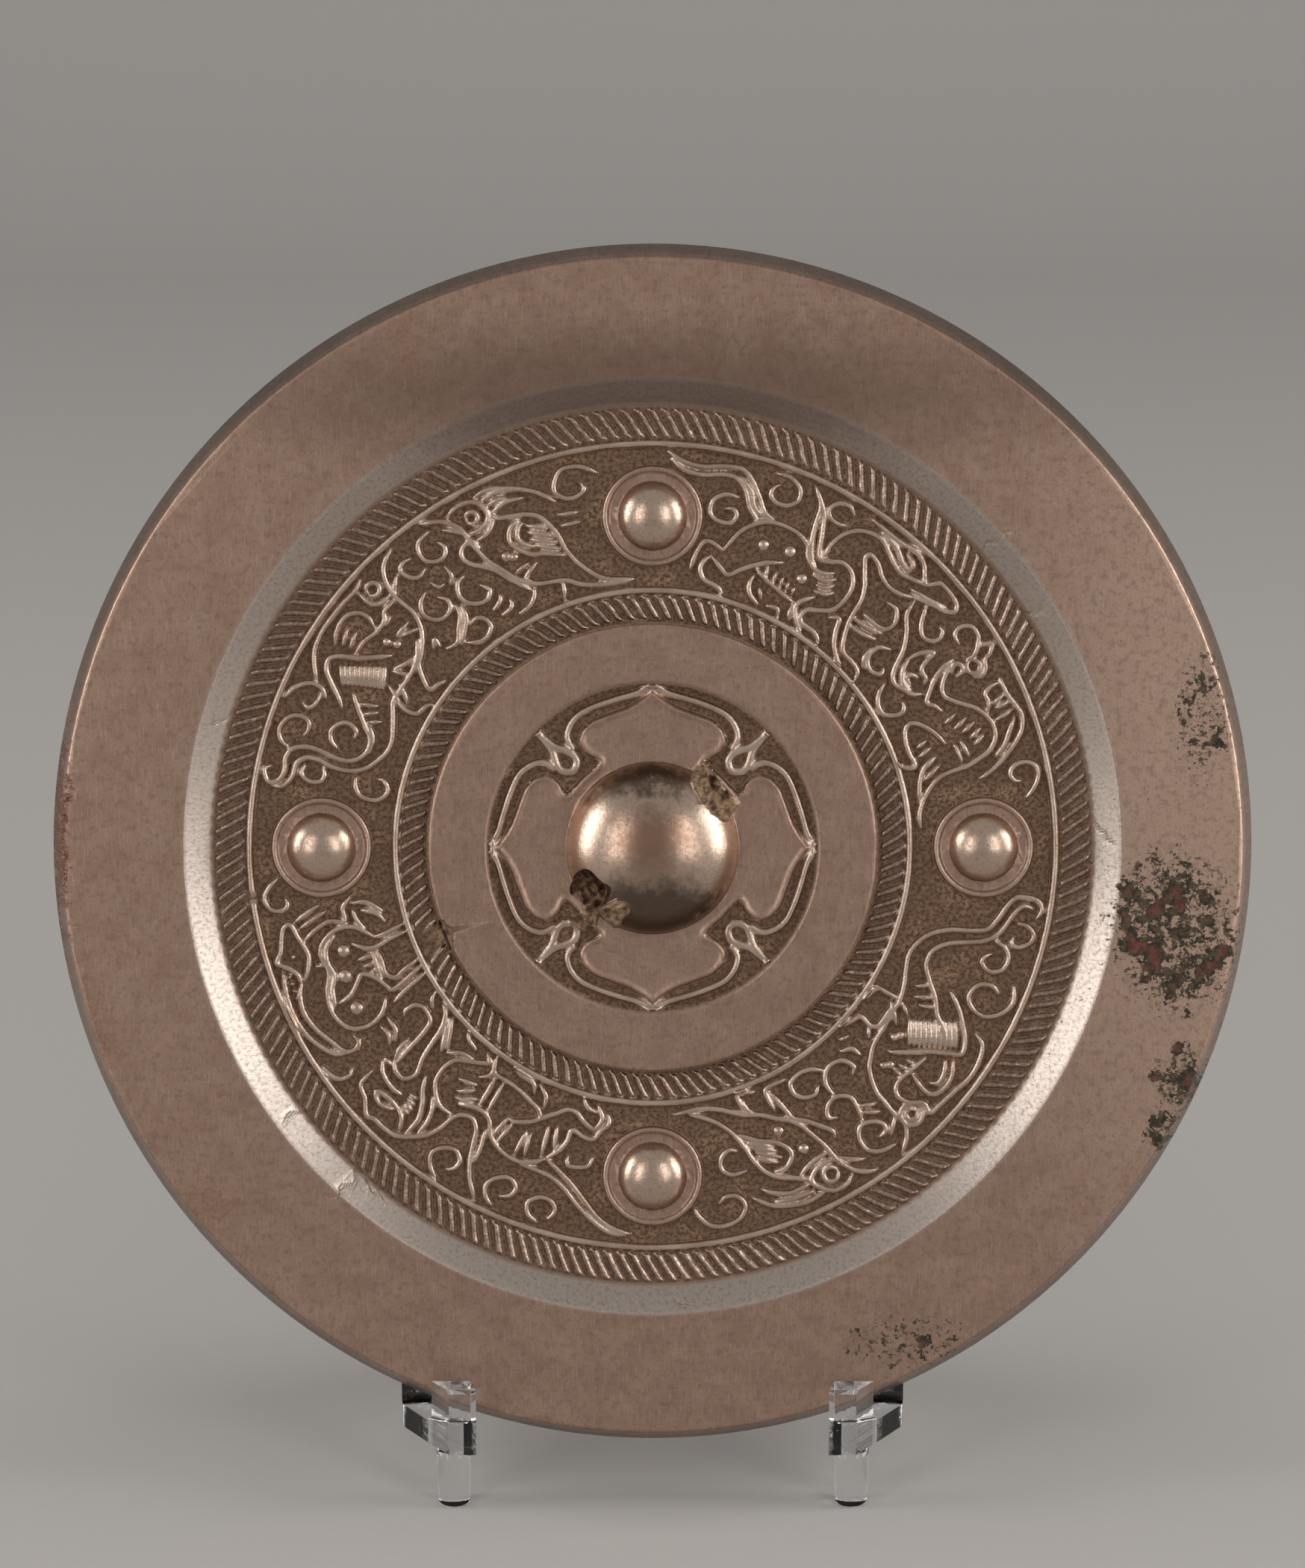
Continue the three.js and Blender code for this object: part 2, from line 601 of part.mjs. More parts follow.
piece('stand_ring', ringGeometry(), acrylic);
piece('stand_back_arm', armGeometry(), acrylic);
const pegs = {
  stand_peg_left: [-PEG_SPACING / 2, FRONT + PEG_INSET],
  stand_peg_right: [PEG_SPACING / 2, FRONT + PEG_INSET],
  stand_peg_back: [0, FRONT + STAND_DEPTH - BAR_WIDTH / 2],
};
for (const [name, [x, y]] of Object.entries(pegs)) {
  piece(name, pegGeometry(), acrylic).position.set(x, y, 0);
}

export default group;
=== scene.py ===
from math import cos, pi, radians, sin
import bpy
import numpy as np
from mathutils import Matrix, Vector


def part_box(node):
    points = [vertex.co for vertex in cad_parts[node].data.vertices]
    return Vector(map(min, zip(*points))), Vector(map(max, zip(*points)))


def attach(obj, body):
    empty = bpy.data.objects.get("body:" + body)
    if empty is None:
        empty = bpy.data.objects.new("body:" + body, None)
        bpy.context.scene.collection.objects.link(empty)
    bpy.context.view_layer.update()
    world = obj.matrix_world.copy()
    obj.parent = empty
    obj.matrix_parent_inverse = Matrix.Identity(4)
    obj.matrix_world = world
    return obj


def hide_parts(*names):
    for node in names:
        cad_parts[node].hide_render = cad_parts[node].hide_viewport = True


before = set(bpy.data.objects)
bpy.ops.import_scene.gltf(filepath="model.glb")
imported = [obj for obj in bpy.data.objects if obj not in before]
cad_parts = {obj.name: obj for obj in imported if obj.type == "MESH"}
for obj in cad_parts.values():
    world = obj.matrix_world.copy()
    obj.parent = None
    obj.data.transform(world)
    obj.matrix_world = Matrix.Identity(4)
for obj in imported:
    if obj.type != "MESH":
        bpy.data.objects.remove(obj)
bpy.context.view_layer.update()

# ---- Camera, floor and light --------------------------------------------------------------------
# The mirror leans back in its cradle, and its middle is found from its part's box.  A long lens
# looks slightly down on it.  A pale sheet sweeps up behind, and big soft lamps light it.

MM = 0.001
LEAN = radians(12.5)
RIM_RADIUS = 80.0

mirror_low, mirror_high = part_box("mirror")
MIRROR_MIDDLE = Vector((
    0.0,
    mirror_high[1] - RIM_RADIUS * MM * sin(LEAN),
    mirror_low[2] + RIM_RADIUS * MM * cos(LEAN),
))

CAMERA_DISTANCE = 0.640
CAMERA_DOWN = radians(16.3)
CAMERA_AIM_ABOVE = 0.0085         # the view is centred a little above the mirror's middle
CAMERA_LENS = 110.7

scene = bpy.context.scene
camera = bpy.data.objects.new("camera", bpy.data.cameras.new("camera"))
scene.collection.objects.link(camera)
scene.camera = camera
camera.data.lens = CAMERA_LENS
camera.data.sensor_fit = "VERTICAL"
camera.data.sensor_height = 36.0
camera.data.clip_start = 0.01
view_back = Vector((0.0, -cos(CAMERA_DOWN), sin(CAMERA_DOWN)))
view_up = Vector((0.0, sin(CAMERA_DOWN), cos(CAMERA_DOWN)))
camera_aim = MIRROR_MIDDLE + Vector((0.0, -cos(LEAN), sin(LEAN))) * 4 * MM
camera.location = camera_aim + view_up * CAMERA_AIM_ABOVE + view_back * CAMERA_DISTANCE
camera.rotation_euler = (pi / 2 - CAMERA_DOWN, 0.0, 0.0)


def mesh_object(name, points, faces, smooth=True):
    """A new mesh object from an (n, 3) array of points in metres and its faces' point numbers."""
    if isinstance(faces, np.ndarray):
        faces = faces.tolist()
    mesh = bpy.data.meshes.new(name)
    mesh.from_pydata(points.tolist(), [], faces)
    mesh.polygons.foreach_set("use_smooth", [smooth] * len(mesh.polygons))
    mesh.update()
    thing = bpy.data.objects.new(name, mesh)
    scene.collection.objects.link(thing)
    return thing


def grid_faces(rows, columns, around=False):
    """Four-cornered faces of a grid of rows by columns of points, joined around if asked."""
    last = columns if around else columns - 1
    row, column = np.meshgrid(np.arange(rows - 1), np.arange(last), indexing="ij")
    after = (column + 1) % columns
    corners = [row * columns + column, row * columns + after,
               (row + 1) * columns + after, (row + 1) * columns + column]
    return np.stack(corners, -1).reshape(-1, 4)


def sweep_backdrop():
    """A sheet that lies flat, then curves up through a quarter circle and stands behind."""
    turn = np.linspace(0, pi / 2, 24)
    depth = np.concatenate(([-3.0, 0.9], 0.9 + 0.6 * np.sin(turn), [1.5]))
    height = np.concatenate(([0.0, 0.0], 0.6 * (1 - np.cos(turn)), [3.0]))
    across = np.array([-4.0, 4.0])
    x, y = np.meshgrid(across, depth)
    points = np.stack([x, y, np.repeat(height[:, None], 2, 1)], -1).reshape(-1, 3)
    return mesh_object("backdrop", points, grid_faces(len(depth), 2))


def plain_paper(name, colour):
    """Matt paper in one colour."""
    material = bpy.data.materials.new(name)
    material.use_nodes = True
    shader = material.node_tree.nodes["Principled BSDF"]
    shader.inputs["Base Color"].default_value = (*colour, 1)
    shader.inputs["Roughness"].default_value = 0.9
    return material


backdrop = sweep_backdrop()
backdrop.data.materials.append(plain_paper("pale paper", (0.50, 0.49, 0.48)))


def soft_lamp(name, place, size, watts, colour=(1, 1, 1)):
    """A rectangular lamp that looks at the mirror's middle."""
    lamp = bpy.data.lights.new(name, "AREA")
    lamp.shape = "RECTANGLE"
    lamp.size, lamp.size_y = size
    lamp.energy = watts
    lamp.color = colour
    thing = bpy.data.objects.new(name, lamp)
    thing.location = place
    thing.rotation_euler = (Vector(place) - MIRROR_MIDDLE).to_track_quat("Z", "Y").to_euler()
    scene.collection.objects.link(thing)
    return thing


soft_lamp("lamp left", (-0.50, -0.62, 0.34), (0.17, 0.56), 0.95, (1.0, 0.95, 0.90))
soft_lamp("lamp right", (0.50, -0.62, 0.36), (0.17, 0.56), 1.05, (1.0, 0.95, 0.90))
soft_lamp("lamp beside left", (-0.98, -0.02, 0.36), (0.50, 0.7), 5.0, (1.0, 0.96, 0.92))
soft_lamp("lamp beside right", (0.98, -0.02, 0.36), (0.50, 0.7), 5.8, (1.0, 0.96, 0.92))

world = bpy.data.worlds.new("studio")
scene.world = world
world.use_nodes = True
world.node_tree.nodes["Background"].inputs["Color"].default_value = (1.0, 0.97, 0.94, 1)
world.node_tree.nodes["Background"].inputs["Strength"].default_value = 0.43
scene.view_settings.view_transform = "Standard"

# ---- Mirror: raised figures ---------------------------------------------------------------------
# Eight creatures and the scrolls between them run round the band, each cast as thin round ridges.
# A line of text is one ridge, as degrees,millimetres pairs round and out from the mirror's middle;
# an indented line goes on with the ridge above it.

STRIDING_BEAST_UPPER_RIGHT = """
87.7,52.6 85.6,51.5 82.7,51 79.2,51.5 76.6,51.6 74.7,50.4 72.8,48.3 71.5,46.9 69.6,46.4
87.2,51.6 85.3,50.4 82.4,49.9 79.2,50.4 77,50.2 75.4,48.9 74.1,46.9 72,45.4
77,50.6 74.7,49.2 73.4,47.2 71.3,46.2
76.6,40.6 74.6,43.4 72,45.3 69,46.1 65.4,46 62.9,45.1 61.9,43.7 60,42.8 58.1,42.9 56.5,43.7
76.4,40.5 79.8,41.4 81.4,40 82.4,37.3
78.6,39.6 79.8,38.7 80.3,37.5 79.2,36.3 76.6,35.8 75.4,35.4 74.7,34.8
78.6,39.5 76.6,38.4 74.6,37.6 72.5,38.7 70.6,39.7 68.3,40.7 65.4,41.6
69.8,39.6 67.7,38.8 65.1,38.2 62.6,37.8 60.2,37.5
69.6,38.6 69.9,37.3 69,36 66.7,35.2
67.7,37.3 66.4,36
64.9,35.5 62.6,35.8 61.5,34.9
65.6,52.5 63.8,50.5 63.3,48.1 62.7,46.1 61.3,43.9 59.9,43.2
65.2,52.2 62.9,49.8 61.6,47.3 60.6,45.1 59.7,44.3 58.1,44.7 57.1,45.2 55.8,45.5 53.9,44.9 52.5,43.4
  52.3,41.2 53.1,39.5 55.2,38.4 57.1,37.6 57.4,36.3 56.2,35.8 53.6,35.8 51.7,35.3 51,34.7
59.6,42 57.4,42.1 55.7,43.1
58.1,41.1 56.5,41.4 55.3,42.3
57.8,40.3 55.8,40.7 54.6,41.5
57.2,39.6 58.7,38.5 59.4,37.5 58.7,36.3 56.8,35.2 55.5,34.8
60,37.5 59.7,35.8 59,35.4
59.5,44.4 59.5,46.7 58.7,48.6 57.1,50.1 55.2,50.8 53.3,50.9 51.4,50.2 49.8,49.5 47.8,49.1 45.9,49.6
  44,50.3
44,47.9 45.6,47.1 47.8,46.7 49.8,47.1 51.4,48 53.3,48.5 53.8,47.8 52.6,46.3 51,44.7 49.9,43 49.5,41.2
  49,39.7 47.7,37.8 45.9,36.3 43,36.2 40.6,35.8 39.6,34.7
52.6,38.5 50.9,39.2 49.8,37.6 48.2,36.1 45.9,35.1 44,34.8
56.2,52.4 53.6,52.2 50.7,52.2 48.2,52.6 46.2,52 45,51 43.9,50.2
53.9,51.6 51,51.3 48.8,50.3 47.5,50.1 47.3,51 49.1,51.6
43.9,50.2 43.1,51.3 42.4,51.9 39.9,51.9 38.6,51.6 38,50.9 39,49.9 41.2,49.1 44.1,47.9
39.3,50.3 41.8,49.3 45,48.5
46.2,45.1 44.4,45.2 42.9,43.9 43.1,42.5 44.7,41.9 48,41.8
43,41.6 46,40.8 48.8,40.6
43.1,40.5 46,39.7 48.5,39.5
76,47.8 78.2,47.9 80,46.9 80.3,45.2 78.9,44.3 76.6,44.3 75.8,45.4 76.6,46.2 77.9,46
71.5,52.3 69.6,52.4 67.7,51.5 67.2,50 68.3,48.9 69.9,48.6 71.4,49.2 71.4,50.3 70.7,51
58.7,51.5 60,52.3 61.6,51.9 62.4,50.8 61.9,49.8 60.5,49.5 59,49.8
67.7,40.2 67.3,38.8
65.9,40 65.6,38.7
64.3,39.8 64,38.6
62.9,39.6 62.6,38.5
61.5,39.3 61.2,38.4
"""
SCROLLS_UPPER_RIGHT = """
41.5,48.5 40.6,47.3 39.6,46.2 38.1,45.5 36.6,46.1 36.1,47.1 36.7,48 37.5,48.1
43.3,47.5 42.5,45.7 40.2,44.1 38.3,42.4 37,40.5 35.8,39.3 34.2,38.8 32.2,39.4 30.6,40.1 29.7,41.2
36.4,42.2 36.1,43.9 34.8,45.4 34.3,43.9 33.5,42.8 31.9,42.7 31.1,42.1
36.4,42.2 35.1,40.5 33.2,39.8 31.2,40.2
32.6,41.8 33.8,41.4 33.8,40.6 32.4,40.5
39.8,41.1 41.5,40.2 41.8,38.8 40.9,37.7 39,37.3 37.3,38.1 38,38.9
42.5,39.3 41.8,37.6 40.2,36.8
35.4,37.8 34.2,36.3 32.2,35.4 30,35.5 28.6,36.8 28.7,38 30.3,38.5
"""
FELINE_RIGHT = """
33.5,48.8 35.1,49 35.7,50.2 34.8,51.5 33.2,51.6 31.9,50.8 31,49.8 31,48.6
31.9,50.6 31.1,52.5 30,51.7 29.5,50.7 28.1,50.1 27.6,49.1 28.1,48.1
32.2,47.1 31.9,45.4 31,43.7 29.4,42.2 27.9,41.2 26.8,41.9 25.2,42.5
31.4,46.7 30.6,45.2 29,43.9 27.4,43.7 25.5,44.9 23.6,46.6 21.7,47.6 19.8,48.1 17.8,47.8 16.2,46.6
  15.3,44.9 14.5,43 14.3,40.8 13.4,38.8 11.4,37.3 9.2,36.3 6.6,35.7 4.1,35.8
29.4,46.1 29.7,47.4 31,47.5 31.3,46.7 30.3,46
26.2,51.3 23.6,51.3 21.4,51.8 19.8,52.1 17.8,51.5 16.2,50.2 14.6,48.4 13,46.4 11.9,44.4
19.8,51 18.2,49.9 16.2,48.6 15,47.1
25.6,50.8 25.5,49.6 24.8,48.6 23.6,48.6 21.7,47.9
23.6,50.8 23,49.1
22.3,51 22.2,49.1
21,51 20.4,48.6
23.9,43.9 23,42.2
22.6,45.1 21.4,43
21.4,45.9 20.4,43.9
20.1,46.4 19.1,44.7
18.8,46.4 17.8,44.9
19.1,43.3 16.2,43.8
19,42.3 15.6,42.7
19.4,41.3 21.7,40.6 23.6,39.8 25.5,38.5 25.5,37.4 23.6,36.6 20.4,36.3 17.8,36.6 17,36.1 17.8,35.1
  19.2,34.7
21.4,39 20.7,37.6
19.8,39.2 18.8,37.4
17.8,39.5 15.9,37.1
15.9,39.5 14,37.3
17.8,39.5 16.6,37.8 14.6,36.8 12.4,36.3 9.5,36
7.6,50.1 8.9,51.3 10.5,52.1 12.1,52 13,50.8 12.7,49.1 11.4,48.5 10.5,49 10.3,49.8
"""
BIRD_UPPER_LEFT = """
125.8,52.9 123.2,51.7 122.1,50.8 121,49.3 120.8,47.4 120.3,45.4 119.7,43.7 118.4,42 116.8,40 114.9,38.8
  113,38.1 110.4,37.7 107.8,37.3 105.6,36.4 103,35.8 99.8,35.5 97,35.5 94.1,35.8
123.5,50.5 122.2,49.6 121.1,48.5
121.9,51.5 120.6,52 118.7,52.1 117.1,51.4 116.2,49.8 116.8,48.5 118.7,48 120.3,48.2
119.8,45.9 120.6,47.3 122.2,47.1 123.2,46.1 122.6,44.7 121,43.5 119.4,42.2 118.1,40.5 116.8,39.3
  115.2,37.8
120,46.9 118.1,47 116.8,47.5 115.8,48.3
117.1,52.1 114.9,52.3 112.3,51.5 109.8,50.5 107.5,49.2 105.6,47.6
116.2,51.3 113.6,51.5 111,50.8
115.8,50.4 113.6,50.5 112.3,49.9
115.5,49.3 113,49.8 110.4,49.5
116,49.1 114.9,48.2 113,47.8 110.7,47.3 108.8,46.4 107.5,44.7 106.7,43.2 106.1,41.2 104.8,39.3 103,37.8
  100.8,36.6 98.2,36 94.1,35.8
112,47.1 113.9,46.4 115,44.9 114.2,43.5 112.3,42.1 109.8,41.5 106.6,40.5
111.8,46.4 112.7,46 113.5,44.9 112.9,43.8 111.4,42.9
111.4,45.9 108.2,44.7
111.6,45 107.2,43.3
111.6,44 107.5,42.5
111.1,43 107.2,41.5
116.2,40.8 113.6,41.2
115.5,39.5 112,40.9
119.7,35.7 116.8,36 115.2,36.8 114.4,37.8
109.4,35 108.8,36.3 108.8,37.3
105.9,45.9 102.4,45.6
105.8,44.4 102.4,44.3
98.4,50.2 99.5,50.9 101.4,51.6 103.7,51.5 105.1,50 105.3,48.8 104,47.8 102.4,47.6 100.8,48.3 101.1,49.3
"""
SCROLLS_UPPER_LEFT = """
129.9,50 131.2,50.2 132.3,49.6 131.8,48.1 130.6,47.4 129.1,47.8
125.4,51.4 127.4,51 128.3,50 128.3,48.6 127,47.6 125.4,47.5 124.6,48.5 125.1,49.6
129.9,45.9 129.3,44.7 128.3,44.6
126.4,46.4 126.4,44.9 127.4,44
131.5,45.4 133.4,44.7 134.4,43.5 133.8,42 132.2,41.2 130.2,41.5 129.6,42.7 130.6,43.8
129,41.5 129.6,40 131.5,38.8 133.4,37.6 136,38
128.2,41 128.9,39.3 130.9,38 133.2,36.9
137.7,39.3 136.2,40 136.5,38.8
124.8,43.9 126.4,43.5 127.4,42.2 127,40.8 125.4,39.8 123.5,39.6 122.2,40.5 123.2,41.7
121,39.3 121.6,38.5 123.8,37.9
119.7,38 120.3,37 122.9,36.7
132.2,36.8 130.2,35.8 128,35.6 126.1,36.3 126.1,37.6 127.4,38.4 129.3,38.2
"""
WINGED_BEAST_LEFT = """
167.9,52 168.6,52.6 170.2,51.8 169.7,50.5 168.2,50 166.3,50.2 164.7,49.7 163.8,48.3 163.6,46.4
  164.1,44.1 164.1,42.2 163.1,40.8 161.2,40 159,40.2 157,41.5 155.4,42.7 153.8,43.9 152.6,44.7
170.8,51.3 170.5,49.8 168.9,48.8 166.6,48.6 165.4,47.6 165.2,45.9 165.8,43.9 165.8,41.7 164.7,39.7
  162.8,38.5 160.2,37.5 157.7,37.4 155.1,38 152.6,38.8 150.6,39.5 147.8,39.5 144.2,39.5 141,40.2
  138.5,41.7
161.5,39.6 159,39.8 156.7,40.8
155.8,45.1 154.2,46.4 152.6,48.1 151.3,49.3 149.7,49.7 148.4,48.6 147.3,46.6 145.5,44.7 143.6,43
156.1,41.2 155.1,39.7
155.1,42.2 153.8,40.6
153.8,43.3 152.7,41
153.8,49.6 151.6,51 149.4,52 146.2,52.4 142,52.3 139.1,52.1 137.5,52.6
147.4,50 145.5,50.8 143.3,51 141.7,50.3 140.9,48.8 141.5,47.1
146.8,49.1 144.2,49.8
146.5,48.1 143.9,48.6
139.1,51.5 139.1,49.6 138.2,48.6 136.2,48.3
146.8,47.1 144.2,47 142,46.5 139.8,46.6 138.5,47.4 135.9,47.4
140.1,46 138.5,46.4
131.2,52.6 133.4,51.8 134.7,50.5 135.5,48.6 135.6,46.6 135.4,44.7 136.2,42.7 137.8,41.2 140.1,40
  142,39.3 143.6,37.8 144.6,36.3 142.6,35.8 141,35.3
133.1,49.6 134.4,48.8 135.4,47.8
145.2,41.7 143,40.8 141,40.4
150,39.3 150.8,37.5 150.3,36 148.1,35.5 146.8,34.9
148.4,41 150,38.8
147.1,40 148.4,38.5 149.4,37.8
145.8,41.7 144.6,39.7
140.4,44.1 137.2,44.1
140.1,43.7 137.2,42.7
164.6,50 163.8,51.4 162.2,52 160.2,51.3 159.4,49.8 159.9,48.6 161.2,48.3 162.2,48.7
157.8,52.8 155.8,52 154.3,50.5 154.2,48.8 155.4,47.6
157.4,50.3 157.8,49.3 156.7,48.6 155.1,48.6
166.6,47.5 168.2,47.6 169,46.4 168.7,45 167.6,44.6 166.3,45
162.5,43.9 161.5,45 159.9,45.4 158.3,44.7 157.7,43.5 158.6,42.2 159.9,42.2
166.6,40.5 168.6,40.2 170,39.3 170.3,37.5 169.2,36.3 167.6,36 166,36.8 166,37.6
"""
HORNED_BEAST_LEFT = """
209.5,40.8 211.3,42 212.1,43.5 212.1,45.1 211,46.9 209,47.8 206.8,48 204.2,47.5 202,46.5 200.4,46.2
  198.5,46.5 196.6,46 195,44.4 194.5,42.7 195,41 196.6,39.7 197.8,39
206.8,47.3 204.2,46.7 202,45.7 199.4,45.9 197.2,45.4 195.6,44
195.1,48 193.7,46.1 192.9,44.1 193.5,42.2 191.1,42 189.2,40.8
191.8,48.6 190.8,46.9 189.8,45.1
193,48.1 192.1,46.4 191.1,44.4
199.6,47.5 199.8,46.5
201.4,50.2 199.8,50.2 198.5,51 197.2,52.3 195.9,51.5 194,50.9 192.4,50.3 192.1,49.3 194.3,48.7 197.2,48
  199.4,48.6 201,49.5
201.4,50.2 203,51 205.5,51.4 208.4,51 211.3,50 213.5,49.3 214.2,48.3 213.8,47.1 212.2,47.1
214,49.1 213.2,50.4 211.3,51.5 208.7,52.4 205.5,52.8 202.3,52.6 198.8,52
214.8,47.6 213.2,46.6
206.6,46.6 206,44.6 204.6,43.2 203.6,42.2 205.2,40.8 207.4,40 208.7,39.5 208.2,37.3 207.1,34.8
211,40.2 210,38 209,34.8
205.5,34.8 206.2,36.8 206.8,38.4 205.2,39.3 202.6,39.1 200.1,39.3
206.2,40.1 203.6,40 200.4,39.8
203.9,41.2 203.9,40
202.5,41.7 202.5,40
201,42 200.9,40
197.8,42 199.1,40.8 199.8,39.3 199.1,36.8 198.8,34.8
197.8,39 197.8,37.3 197,34.8
195.9,39.7 194,40.5 191.8,40.8
190.5,40.8 190.8,38.8 193.4,36.8
192.1,39.7 193.4,37.8 195.6,36.9
184.7,50 186,51.3 187.6,52.1 189.2,51.5 189.7,50.3 189.2,49.2 187.9,49.3
"""
STRIDING_BEAST_LOWER_LEFT = """
266.7,51.9 264,51.3 261.4,50 258.6,47.8 256,46.1 253.4,44.9 251.2,44
266.2,52.1 263.7,51.9 261.1,50.8 258.2,49 255.7,47.3 253.1,46.2 250.2,45.9 247,45.9
251.2,44 249.6,44.8 247.4,45.6 244.8,45.6 242.6,45.1 240.6,44.1 239.4,42.7 237.8,42 235.8,42 234.2,42.5
  233,43
251.2,43.9 252.8,42.5 253.8,41 254.2,39.3 256.6,39.8 258.6,39.8 259.8,38.5 261.1,37.5 260.6,36.2
258.2,35.3 259.5,36.8 259.2,37.8 258.2,38.5 256,37.8 254.1,36.9 252.2,36.8 250.2,37.8 248,39 246.4,40
  243.5,41 241.9,41
258.2,36.3 256,35.8 254.7,34.8
252,42.7 251.2,39.5
250.2,43.9 249.6,39.8
247.4,44.6 247,41.7
245.8,44.9 246.1,41.7
242.2,44.6 243.2,41.5
241,44.1 241.9,41
247.7,39.3 246.4,38.2 244.2,37.6 241.3,37 238.1,36.8 235.2,36.8 234.1,35.8 233.6,34.9
247.4,37.8 247,36.3 244.8,35.1
244.5,36.5 243.2,35.3 240,35.1 238.1,34.8
238.1,41.7 237.8,37.3
236.2,41.5 235.8,37
243.2,52.8 241.3,50.8 240,48.8 239,46.6 238.1,44.6 236.5,43.5 234.6,43.9 233.6,44.9 233,46.9 232,48.8
  230.7,50 228.5,51.5 226.2,51.9 224.4,51.9 223.1,52.3 221.2,51 219.3,50.3 218.8,49.1 218.6,47.8
240.6,48.3 240.2,45.9 239.4,43.9
233,44.7 230.7,44.7 228.8,43.9 227.2,42.5 226.6,40.5 227.2,38.8 229.1,37.8 231,37 233,36 231.4,35.3
225,38.8 227.2,37.5 230.1,37
233,38.5 234.6,37.3 234.1,36
229.1,35.8 226.6,35.5 225,34.8
230.7,49.6 230.7,47.6 230.1,45.9 228.8,44.6
229.3,50.5 229.3,48.1 228.2,46.1 226.6,44.6 225.3,43
235.2,41 233,42
233.9,40.2 231.4,41.7
233.6,39.5 230.1,40.3
235,41.8 231.8,42.5
228.2,50.8 227.2,49.3 225.3,48.6
226,48.7 223.4,48.6 221.5,49.2 223.1,50 225.4,49.3
227.6,48.3 226,48.3
227.6,47.6 226,47.6
227.3,46.9 225.8,46.9
226.9,46.1 225.6,46.2
224.7,47.1 222.5,47.3 220.2,47 219.1,46.4 218.3,45.9
219.9,45.4 218.3,45.4
219.6,44.6 220.9,45.4 222.8,45.4 223.6,44.6 223.8,43.5 222.5,41.5 221.5,39 220.6,37 219,35.5 216.7,34.8
220.2,44.6 219.6,42.2 219.1,39.7 218.3,37.8 216.7,37.3 214.8,37.3 213.5,38.2 213.5,39.5 214.2,40
219.6,44.6 218.6,43.2 218.2,41.5
217,43.9 215.4,43.2 213.5,43.4
217,43 215.4,42 212.8,42
224.7,38.5 222.8,36.8 220.6,35.1
224.1,39.3 222.2,37.3 219.9,35.5
216.4,36.3 214.8,35.8 213.8,34.9
213.7,52.8 215.4,52.6 216.7,51.8 217,50.5 216.4,49.8
254.2,51.8 255,50.5 254.1,49.3 252.2,49.2 250.7,50.3 251.2,51.8 252.8,52.5
246.4,51 247.8,50.3 248.2,49.1 246.7,48.2 244.8,48.9 243.8,50.3 244.5,51.8 245.8,52.5
237.4,51.2 238.4,50.3 238.4,49.1 236.8,48.3 234.9,49.2 234.2,50.5 235.2,52 236.8,52.9
259.2,42.2 258.6,43.5 256.6,44 255,43.9 254.7,42.9
"""
BIRD_LOWER_RIGHT = """
304.8,52.5 303.2,51.8 301.9,50.8 300.6,48.6 300,46.1 299,43.9 298.1,42.2 296.5,40.8 294.2,39.7
  291.7,38.5 288.8,37.8 286.2,36.8 283.7,36 280.2,35.5 276.6,35.7 274.4,35.9
304.2,50.4 302.6,49.5 301,48.3
301.3,51.3 300,52 298.1,52 296.5,51 295.5,49.6 296.5,48.5 298.4,48 300.3,48.3
299.7,47 297.4,47.1 295.5,47.6 294.2,48.2
302.2,45.9 302.4,44.9 301.3,43.7 299.4,42 297.4,40.8 296.8,39.3 295.8,38
295.5,49.3 293.6,48.3 291,47.3 289.1,45.9 287.8,43.9 286.9,41.7 285.3,39.5 283,37.8 280.5,36.8 277.6,36
296.8,51.5 293.6,51.8 290.7,51.3 288.2,50.4 285.9,48.8
295.2,50.8 292,50.7 289.1,50.2
294.9,49.7 291.7,49.8 289.1,48.9 287.8,48.1
290.7,46.4 292.6,46.4 294.2,45.4 294.2,44.1 292.6,42.7 289.8,41.7 286.2,40
292.6,44.9 288.8,43.2
291.7,45.4 288.5,43.9
292.3,43.9 287.8,42.2
292,43.2 287.5,41.5
297.1,39.7 296.2,37.8 295.5,36.3
294.9,38.8 294.9,35.8 299.7,35.7
291.4,38.5 289.8,37.3 289.4,35.8
289.4,37.8 288.8,35 292.6,35.4
276.5,48.6 277.3,50 278.9,51.3 281.1,51.6 283.4,51 284.5,49.6 283.7,48.1 281.8,47.8 280.5,48.6
286.2,45.1 283.7,45.1 282.1,44.1 282.4,42.7 284,41.8 285.6,42.2
"""
SCROLLS_LOWER_RIGHT = """
309.3,51.3 307,50.8 305.4,49.6 305.3,47.8 306.7,46.5 308.6,46.9 309.8,48.1 309.3,49.1 308,49.2
307.4,46.1 308.2,44.1 308.3,42.5 306.4,41.4 304.2,41.7 303,43 304.2,43.7
306.1,41 306.1,39.3 307.4,38 309.6,37.5 311.8,38.2 312.5,39.7 311.2,40.5
310.7,46.6 308.2,45.1
311,45.4 308.3,44.1
307.4,37.5 305.4,36.4 302.9,36 300.3,36.5 299.8,37.8 301,39 303.2,39.5 304.8,38.8
315,39.3 314.7,37.8 312.5,37
316,36.3 314.1,35.8
"""
